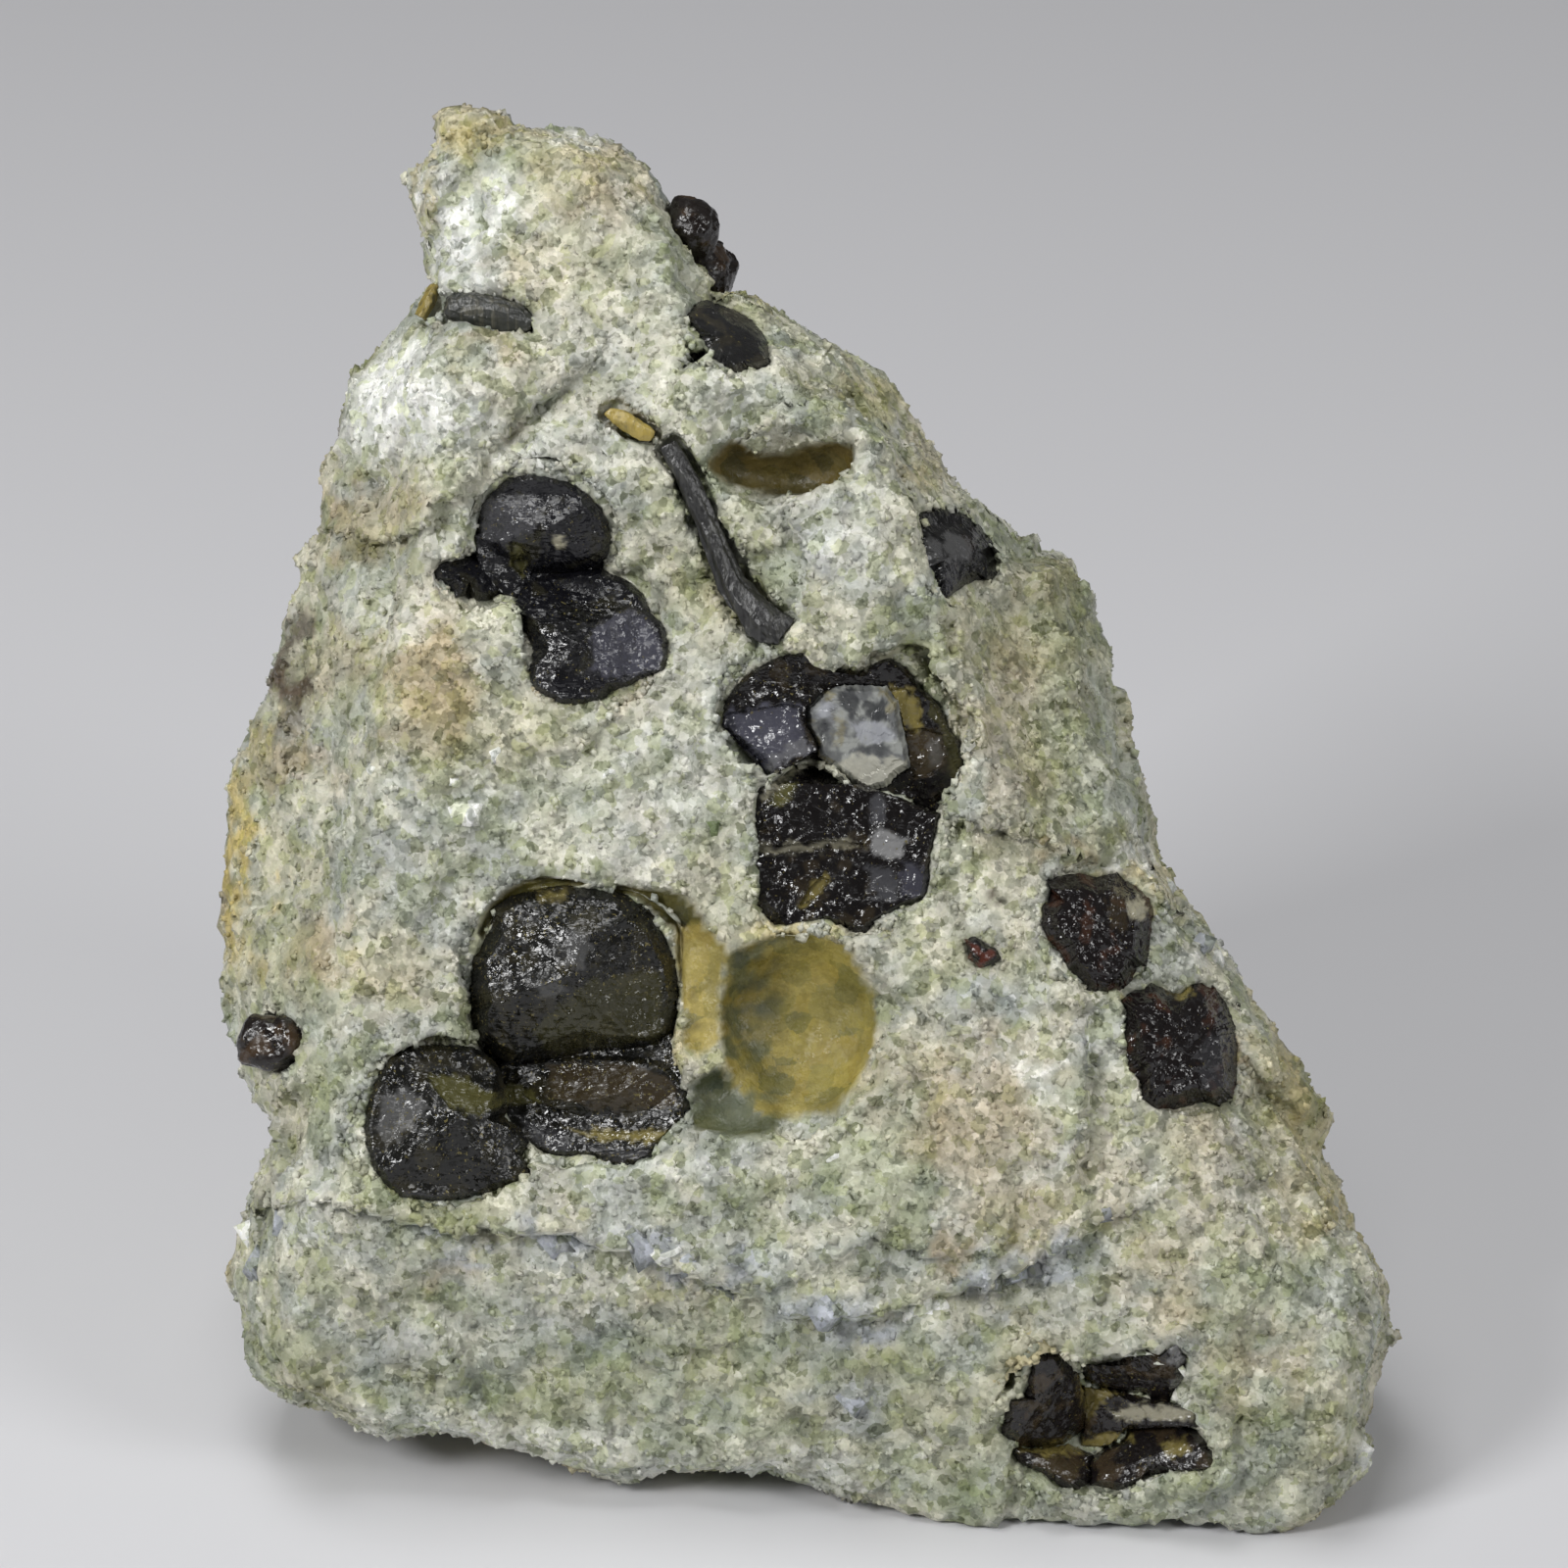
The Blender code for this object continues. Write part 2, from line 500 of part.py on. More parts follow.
def cut_cup(parent, rock):
    mesh = bmesh.new()
    bmesh.ops.create_uvsphere(mesh, u_segments=20, v_segments=12, radius=1.0)
    place = view_point(CUP["u"], CUP["w"], height_at(CUP["u"], CUP["w"]) + CUP["over"])
    lean = Matrix.Rotation(CUP_LEAN, 3, "X")
    for vert in mesh.verts:
        across, up, out = lean @ Vector((value * half for value, half in zip(vert.co, CUP["half"])))
        vert.co = place + view_axes() @ Vector((across, up, out)) * MM
    bmesh.ops.recalc_face_normals(mesh, faces=mesh.faces)
    subtract(rock, hide_cutter(new_object("mould_cup", mesh, parent)))


def subtract(target, cutter):
    cut = target.modifiers.new(cutter.name, "BOOLEAN")
    cut.operation = "DIFFERENCE"
    cut.object = cutter


def keep_main_body(target):
    """Carries out an object's cuts, and drops the crumbs that they leave between two sockets."""
    mesh = evaluated_bmesh(target)
    bodies = []
    left = set(mesh.verts)
    while left:
        body, edge = set(), [left.pop()]
        while edge:
            vert = edge.pop()
            body.add(vert)
            found = {other.other_vert(vert) for other in vert.link_edges} & left
            left -= found
            edge += found
        bodies.append(body)
    bodies.sort(key=len)
    for crumb in bodies[:-1]:
        bmesh.ops.delete(mesh, geom=list(crumb), context="VERTS")
    target.modifiers.clear()
    mesh.to_mesh(target.data)
    mesh.free()


# The dark hornblende: a long blade in the upper face and a flat plate on the neck, and a chip of epidote.
# Each is a row of cross sections: (u, w, height of the crest over the face, half width).
BLADES = {
    "hornblende_blade": [
        (-7.2, 20.9, 0.3, 0.75), (-5.8, 18.4, 0.5, 0.8), (-4.5, 15.4, 0.6, 0.85), (-3.2, 12.2, 0.7, 1.05),
        (-1.3, 9.9, 0.7, 1.35), (0.0, 9.0, 0.3, 1.45),
    ],
    "hornblende_plate": [
        (-20.8, 29.3, 0.5, 0.75), (-19.4, 29.0, 0.7, 1.25), (-17.6, 28.8, 0.8, 1.3), (-16.2, 28.5, 0.5, 1.05),
        (-15.4, 28.0, 0.2, 0.5),
    ],
    "epidote_chip": [
        (-21.3, 30.7, 0.5, 0.35), (-21.7, 29.7, 0.9, 0.6), (-22.3, 28.5, 0.7, 0.5),
    ],
    "epidote_streak": [
        (-10.9, 22.9, 0.25, 0.4), (-9.8, 22.2, 0.45, 0.75), (-8.6, 21.5, 0.45, 0.7), (-7.9, 21.3, 0.2, 0.4),
    ],
}
BLADE_ROOT = 1.6                # how far a blade goes into the rock


def blade_mesh(sections, gap):
    """A blade along its sections: a flattened hexagon from edge to edge, with pointed ends."""
    stations = [np.array(section, float) for section in sections]
    mesh = bmesh.new()
    rings = []
    for index, (u, w, crest, half) in enumerate(stations):
        before = stations[max(index - 1, 0)]
        after = stations[min(index + 1, len(stations) - 1)]
        run = (after - before)[:2] / np.hypot(*(after - before)[:2])
        side = np.array((run[1], -run[0])) * (half + gap)
        end = (index == len(stations) - 1) - (index == 0)
        centre = np.array((u, w)) + run * end * gap
        face = height_at(u, w)
        corners = [
            (-1.0, 0.0), (-0.55, crest + gap), (0.3, crest * 1.15 + gap), (1.0, 0.1),
            (0.6, -BLADE_ROOT - gap), (-0.6, -BLADE_ROOT - gap),
        ]
        rings.append([
            mesh.verts.new(view_point(*(centre + side * across), face + height)) for across, height in corners
        ])
    for first, second in zip(rings, rings[1:]):
        for i in range(6):
            mesh.faces.new([first[i], first[(i + 1) % 6], second[(i + 1) % 6], second[i]])
    mesh.faces.new(rings[0][::-1])
    mesh.faces.new(rings[-1])
    bmesh.ops.triangulate(mesh, faces=mesh.faces)
    bmesh.ops.recalc_face_normals(mesh, faces=mesh.faces)
    return mesh


# The pale core that shows in the broken face of the centre garnet.
CORE = {"u": 4.5, "w": 2.8, "over": 0.1, "half": (3.3, 3.1, 1.5), "turn": (12, 40, 20), "uneven": 0.12}
CORE_FACE = (0.1, 0.0, 0.8)


def make_core(parent, material, rock, centre_garnet, rng):
    at = (CORE["u"], CORE["w"], height_at(CORE["u"], CORE["w"]) + CORE["over"])
    planes = crystal_planes(CORE["turn"], CORE["uneven"], CORE_FACE, rng)
    core = new_object("quartz_core", crystal_mesh(at, CORE["half"], planes, 0.0), parent, material)
    socket = hide_cutter(new_object("socket_core", crystal_mesh(at, CORE["half"], planes, SOCKET_GAP), parent))
    subtract(centre_garnet, socket)
    subtract(rock, socket)
    return core


def set_on_floor(parent, nodes):
    """Moves the whole specimen so that its box stands centred on the origin."""
    bpy.context.view_layer.update()
    graph = bpy.context.evaluated_depsgraph_get()
    corners = np.concatenate([
        [node.evaluated_get(graph).matrix_world @ Vector(corner)
         for corner in node.evaluated_get(graph).bound_box]
        for node in nodes
    ])
    low, high = corners.min(axis=0), corners.max(axis=0)
    parent.location = -Vector(((low[0] + high[0]) / 2, (low[1] + high[1]) / 2, low[2]))
    print("moved by", [round(value / MM, 3) for value in parent.location])


def main():
    for old in list(bpy.data.objects):
        bpy.data.objects.remove(old)
    rng = np.random.default_rng(SEED)
    specimen = bpy.data.objects.new("specimen", None)
    bpy.context.scene.collection.objects.link(specimen)
    rock_finish = stone_material("granular rock", (0.56, 0.56, 0.46), 0.75)
    garnet_finish = stone_material("black garnet", (0.035, 0.028, 0.03), 0.3)
    blade_finish = stone_material("hornblende", (0.04, 0.045, 0.045), 0.35)
    epidote_finish = stone_material("epidote", (0.36, 0.27, 0.06), 0.5)
    quartz_finish = stone_material("milky quartz", (0.55, 0.56, 0.52), 0.35)

    rock = make_rock(specimen, rock_finish)
    for name, mould in MOULDS.items():
        cut_mould(name, mould, specimen, rock, rng)
    cut_cup(specimen, rock)
    nodes = [rock]
    garnets = {}
    for name, crystals in GARNETS.items():
        garnets[name] = make_garnet(name, crystals, specimen, garnet_finish, rock, rng)
    nodes += garnets.values()
    nodes.append(make_core(specimen, quartz_finish, rock, garnets["garnet_group_centre"], rng))
    for name, sections in BLADES.items():
        finish = epidote_finish if name.startswith("epidote") else blade_finish
        blade = new_object(name, blade_mesh(sections, 0.0), specimen, finish)
        nodes.append(blade)
        if name == "hornblende_blade":
            subtract(blade, bpy.data.objects["socket_garnet_group_centre_0"])
        subtract(rock, hide_cutter(new_object(f"socket_{name}", blade_mesh(sections, SOCKET_GAP), specimen)))
    keep_main_body(rock)
    set_on_floor(specimen, nodes)


main()
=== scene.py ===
"""Garnet in matrix: a hand specimen of sugary rock with black garnets, dressed around its solids."""
import json
import math

import bpy
import numpy as np
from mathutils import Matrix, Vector, bvhtree, noise

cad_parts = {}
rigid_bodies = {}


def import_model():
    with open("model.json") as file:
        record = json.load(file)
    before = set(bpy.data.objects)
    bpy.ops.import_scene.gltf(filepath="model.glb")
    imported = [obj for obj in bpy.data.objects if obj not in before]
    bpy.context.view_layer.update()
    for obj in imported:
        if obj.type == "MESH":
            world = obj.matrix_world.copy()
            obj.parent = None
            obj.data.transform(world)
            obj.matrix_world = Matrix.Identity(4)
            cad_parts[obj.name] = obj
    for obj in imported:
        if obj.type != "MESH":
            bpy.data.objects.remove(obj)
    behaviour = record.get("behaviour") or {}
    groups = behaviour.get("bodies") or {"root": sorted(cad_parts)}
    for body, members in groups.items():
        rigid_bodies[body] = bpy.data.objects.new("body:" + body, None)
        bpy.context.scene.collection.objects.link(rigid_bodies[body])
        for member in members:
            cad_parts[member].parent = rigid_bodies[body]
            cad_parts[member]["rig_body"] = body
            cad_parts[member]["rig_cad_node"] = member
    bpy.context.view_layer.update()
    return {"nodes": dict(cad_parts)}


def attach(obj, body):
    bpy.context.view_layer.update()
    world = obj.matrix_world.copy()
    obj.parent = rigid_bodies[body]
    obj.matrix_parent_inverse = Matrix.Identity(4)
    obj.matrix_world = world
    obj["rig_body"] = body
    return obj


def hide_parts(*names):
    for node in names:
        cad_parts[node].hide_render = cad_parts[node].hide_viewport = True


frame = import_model()

# The rock: one loose piece of pale sugary rock, broken all round, that the crystals grew in.
# Its copy is reskinned finely, its facets are worn smooth, and small chips and hollows are put back.
MM = 0.001
LEAN = math.radians(27.0)               # the crystal face leans back by this much
EYE_DISTANCE = 450.0                    # mm from the eye to the middle of the face
FACE_MIDDLE = np.array((-1.466, -4.721, 42.5))      # mm
ROCK_SKIN = 0.46 * MM
ROCK_WEAR = 3                           # rounds of smoothing
PIXEL = 0.06                            # mm of the crystal face for a pixel of the photograph
PHOTO_MIDDLE = 800                      # pixels
MOULDS = {
    # Where a lost garnet left its shape, or a skin of epidote lies bare, and one patch of painted shadow:
    # how deep its bowl is pressed in and how far in from its rim that depth is reached, in mm, its colour,
    # and its outline in pixels.
    "round": (1.9, 4.6, (0.225, 0.185, 0.050), [
        (745, 971), (771, 961), (796, 951), (827, 951), (862, 961), (875, 986), (892, 1017), (895, 1047),
        (890, 1077), (872, 1108), (852, 1131), (822, 1138), (801, 1141), (770, 1135), (748, 1110),
        (737, 1075), (734, 1030), (737, 995),
    ]),
    # Painted shadow: a dark patch where the garnets below cast shade into the round mould's lower left,
    # pressed in a little.
    "shadow under the round one": (0.7, 1.2, (0.085, 0.090, 0.040), [
        (705, 1108), (735, 1085), (752, 1112), (772, 1134), (800, 1141), (776, 1159), (740, 1159),
        (705, 1150),
    ]),
    "strip": (0.5, 0.8, (0.300, 0.240, 0.065), [
        (690, 935), (712, 940), (728, 952), (745, 971), (737, 995), (734, 1035), (735, 1060),
        (716, 1078), (697, 1066), (697, 1010), (690, 970),
    ]),
    "over the largest garnet": (0.9, 0.8, (0.110, 0.095, 0.025), [
        (487, 950), (500, 925), (520, 908), (550, 892), (575, 893), (600, 898), (640, 903), (665, 905),
        (700, 913), (722, 942), (700, 952), (676, 940), (650, 914), (600, 906), (545, 914), (508, 932),
        (494, 960),
    ]),
    "cup": (1.3, 1.6, (0.125, 0.095, 0.028), [
        (721, 474), (735, 462), (748, 448), (758, 450), (769, 461), (790, 465), (807, 464), (820, 457),
        (833, 453), (850, 450), (870, 452), (873, 465), (871, 480), (860, 492), (844, 501), (825, 506),
        (806, 507), (780, 503), (753, 496), (735, 487),
    ]),
}
LEDGES = {
    # Edges broken across the crystal face: corners from one end (across, up), in mm, how far the rock
    # stands out to the left and to the right of that way, and how far off it still does.
    "above the foot": (
        (
            (-33.0, -26.1), (-28.2, -25.5), (-21.0, -27.3), (-14.4, -27.9), (-9.6, -28.2), (-6.0, -30.0),
            (0.0, -32.4), (6.0, -32.7), (12.0, -30.9), (16.8, -28.5),
        ),
        0.45, -0.55, 4.0,
    ),
    "shoulder": (
        ((-27.6, 15.3), (-23.4, 15.0), (-19.8, 18.0), (-17.7, 20.7), (-14.0, 24.2)),
        0.5, -0.5, 3.0,
    ),
    "over the cup": (
        ((-1.8, 21.6), (0.0, 23.1), (3.0, 23.5), (5.3, 22.9), (6.2, 21.6), (6.8, 19.2), (8.1, 16.8)),
        -0.5, 0.5, 2.4,
    ),
    "right ridge": (
        ((8.1, 16.8), (9.6, 12.0), (11.1, 7.2), (12.6, 1.2), (15.6, -3.0), (18.6, -6.0)),
        0.5, 0.3, 1.8,
    ),
    "below the ridge": (((9.0, -2.4), (12.0, -2.7), (15.0, -3.3), (18.0, -4.8)), 0.3, -0.3, 2.6),
    "left foot": (((-31.8, -21.0), (-30.0, -25.8), (-30.6, -30.0), (-29.4, -36.0)), 0.4, 0.4, 1.6),
    "left of the knob": (((-21.6, 40.0), (-21.3, 36.0), (-21.9, 31.0)), 0.1, 0.5, 1.4),
    "tan plane": (((18.3, -14.0), (18.5, -22.2)), -0.35, 0.35, 1.8),
    "crack by the cup": (((6.4, 20.0), (7.1, 18.6), (7.3, 17.6)), -0.5, -0.5, 0.3),
    "crack beside it": (((8.6, 19.6), (9.4, 17.4)), -0.5, -0.5, 0.3),
}
LEDGE_RISE = 1.7                        # times the heights above
LARGE_CHIPS = (0.75, 6.5)               # mm high and wide, like the two below
SMALL_CHIPS = (0.30, 1.9)
PITS = (0.16, 0.9)
LINING_CALM = 0.85                      # share of these left out on a mould's lining
# How edges laid out on the face stray: by how many mm, over how many, octaves, and where in the noise
# for across and for up.
MOULD_WAVER = (0.12, 0.9, 2, 31.0, 47.0)
LEDGE_WAVER = (0.5, 2.0, 3, 61.0, 67.0)


def copy_of_solid(cad_node, name):
    """A copy of a CAD node to work on, with its loose triangles joined."""
    bpy.ops.object.select_all(action="DESELECT")
    solid = frame["nodes"][cad_node]
    solid.select_set(True)
    bpy.context.view_layer.objects.active = solid
    bpy.ops.object.duplicate()
    piece = bpy.context.object
    piece.name = piece.data.name = name
    piece.parent = None
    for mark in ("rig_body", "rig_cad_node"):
        del piece[mark]
    bpy.ops.object.mode_set(mode="EDIT")
    bpy.ops.mesh.select_all(action="SELECT")
    bpy.ops.mesh.remove_doubles(threshold=1e-6)
    bpy.ops.object.mode_set(mode="OBJECT")
    return piece


def apply_modifier(piece, kind, **settings):
    bpy.context.view_layer.objects.active = piece
    modifier = piece.modifiers.new(kind.lower(), kind)
    for setting, value in settings.items():
        setattr(modifier, setting, value)
    bpy.ops.object.modifier_apply(modifier=modifier.name)


def places_of(piece):
    places = np.empty(len(piece.data.vertices) * 3, np.float32)
    piece.data.vertices.foreach_get("co", places)
    return places.reshape(-1, 3).astype(float)


def normals_of(piece):
    normals = np.empty(len(piece.data.vertices) * 3, np.float32)
    piece.data.vertex_normals.foreach_get("vector", normals)
    return normals.reshape(-1, 3).astype(float)


def set_places(piece, places):
    piece.data.vertices.foreach_set("co", places.astype(np.float32).ravel())
    piece.data.update()


def smooth_step(low, high, value):
    share = np.clip((value - low) / (high - low), 0.0, 1.0)
    return share * share * (3.0 - 2.0 * share)


def lumps(places, size, octaves=3, away=0.0):
    """Soft noise from about -1 to 1 over features of that size, at each place."""
    scaled = places / size + away
    return np.array([noise.fractal(Vector(point), 1.0, 2.0, octaves) for point in scaled])


def chips(places, size, away=0.0):
    """Flat chips of that size, each tilted its own way: height from about -1 to 1 at each place."""
    heights = []
    for point in places / size + away:
        point = Vector(point)
        centre = noise.voronoi(point)[1][0]
        slant = noise.cell_vector(centre * 3.7) - Vector((0.5, 0.5, 0.5))
        heights.append((point - centre).dot(slant) * 2.0)
    return np.array(heights)


def on_face(places):
    """Across, up and out on the crystal face, in mm, as the eye in front of it sees them."""
    x, y, z = (places / MM - FACE_MIDDLE).T
    up = y * math.sin(LEAN) + z * math.cos(LEAN)
    out = z * math.sin(LEAN) - y * math.cos(LEAN)
    nearer = (EYE_DISTANCE - out) / EYE_DISTANCE
    return x / nearer, up / nearer, out


TO_EYE = np.array((0.0, -math.cos(LEAN), math.sin(LEAN)))


def wavering_face(places, stray, size, octaves, away_across, away_up):
    """Across and up on the crystal face, in mm, straying so that what is laid out there is uneven."""
    across, up, _ = on_face(places)
    across = across + stray * lumps(places, size * MM, octaves, away_across)
    up = up + stray * lumps(places, size * MM, octaves, away_up)
    return across, up


def from_line(across, up, corners):
    """Distance of each place from a line of corners, below zero to the right of its way."""
    nearest = np.full(len(across), 1e9)
    side = np.ones(len(across))
    for (x1, y1), (x2, y2) in zip(corners, corners[1:]):
        long_x, long_y = x2 - x1, y2 - y1
        share = ((across - x1) * long_x + (up - y1) * long_y) / (long_x ** 2 + long_y ** 2)
        share = np.clip(share, 0.0, 1.0)
        off_x, off_y = across - x1 - share * long_x, up - y1 - share * long_y
        distance = np.hypot(off_x, off_y)
        nearer = distance < nearest
        nearest = np.where(nearer, distance, nearest)
        side = np.where(nearer, np.sign(long_x * off_y - long_y * off_x), side)
    return nearest * side


def from_photo(corners):
    """Across and up on the crystal face, in mm, of corners given in pixels."""
    corners = np.array(corners, float)
    return (corners - PHOTO_MIDDLE) * (PIXEL, -PIXEL)


def depth_inside(across, up, corners):
    """How far each place lies inside a closed outline, below zero outside it."""
    around = np.vstack([corners, corners[:1]])
    inside = np.zeros(len(across), bool)
    for (x1, y1), (x2, y2) in zip(around, around[1:]):
        if y1 != y2:
            crossed = (y1 > up) != (y2 > up)
            inside ^= crossed & (across < (x2 - x1) * (up - y1) / (y2 - y1) + x1)
    return np.where(inside, 1.0, -1.0) * np.abs(from_line(across, up, around))


def off_face(across, up, out):
    """The place in the room of a point across, up and out on the crystal face, as the eye sees it."""
    nearer = (EYE_DISTANCE - out) / EYE_DISTANCE
    across, up = across * nearer, up * nearer
    y = up * math.sin(LEAN) - out * math.cos(LEAN)
    z = up * math.cos(LEAN) + out * math.sin(LEAN)
    return (np.stack([across, y, z], -1) + FACE_MIDDLE) * MM


def depths_in_moulds(places):
    """How far each place lies inside each mould's rim, in mm on the crystal face."""
    across, up = wavering_face(places, *MOULD_WAVER)
    outlines = [from_photo(corners) for _, _, _, corners in MOULDS.values()]
    return np.array([depth_inside(across, up, outline) for outline in outlines])


def ledge_heights(places):
    """How far the ledges stand out at each place, in mm."""
    across, up = wavering_face(places, *LEDGE_WAVER)
    heights = np.zeros(len(places))
    for corners, left, right, reach in LEDGES.values():
        off = from_line(across, up, corners)
        heights += np.where(off > 0.0, left, right) * np.exp(-np.abs(off) / reach)
    return LEDGE_RISE * heights


rock = copy_of_solid("matrix_rock", "rock")
apply_modifier(rock, "REMESH", mode="VOXEL", voxel_size=ROCK_SKIN, use_smooth_shade=True)
worn = rock.vertex_groups.new(name="worn")
for index, share in enumerate(1.0 - smooth_step(0.0, 0.3, depths_in_moulds(places_of(rock)).max(axis=0))):
    worn.add([index], float(share), "REPLACE")
apply_modifier(rock, "SMOOTH", factor=0.5, iterations=ROCK_WEAR, vertex_group="worn")
rock_places = places_of(rock)
rock_normals = normals_of(rock)
rock_faces_eye = rock_normals @ TO_EYE
rock_front = smooth_step(-0.05, 0.35, rock_faces_eye)
mould_depths = depths_in_moulds(rock_places)
rock_lining = smooth_step(-0.10, 0.16, mould_depths.max(axis=0)) * smooth_step(-0.2, 0.2, rock_faces_eye)
relief = LARGE_CHIPS[0] * chips(rock_places, LARGE_CHIPS[1] * MM)
relief += SMALL_CHIPS[0] * chips(rock_places, SMALL_CHIPS[1] * MM, 3.0)
relief += PITS[0] * lumps(rock_places, PITS[1] * MM, 2)
rock_places += rock_normals * (relief * (1.0 - LINING_CALM * rock_lining))[:, None] * MM
outward = ledge_heights(rock_places) * rock_front * (1.0 - rock_lining)
for (deep, reach, _, _), depths in zip(MOULDS.values(), mould_depths):
    short = 1.0 - np.clip(depths / reach, 0.0, 1.0)
    outward -= deep * rock_front * np.sqrt(1.0 - short ** 2)
rock_places += outward[:, None] * TO_EYE * MM
rock_places[:, 2] = np.maximum(rock_places[:, 2], 0.0)
set_places(rock, rock_places)


# The rock's colours: pale calcite and quartz with green diopside, stained by rust and epidote, with a few
# patches of painted shadow and painted bounce light.
# Each stain is a patch on the crystal face, ragged at its edge. The hidden sides get theirs by noise.
CALCITE = (0.60, 0.585, 0.49)
QUARTZ = (0.42, 0.44, 0.41)
DIOPSIDE = (0.27, 0.30, 0.17)
STAIN_AND_PAINTED_LIGHT_COLOURS = {
    "rust": (0.44, 0.34, 0.20),
    "ochre": (0.52, 0.42, 0.17),
    "green": (0.19, 0.24, 0.11),
    "white_and_bounce_light": (0.90, 0.90, 0.88),
    "bluish": (0.36, 0.38, 0.42),
    "umber_and_shade": (0.10, 0.075, 0.05),
}
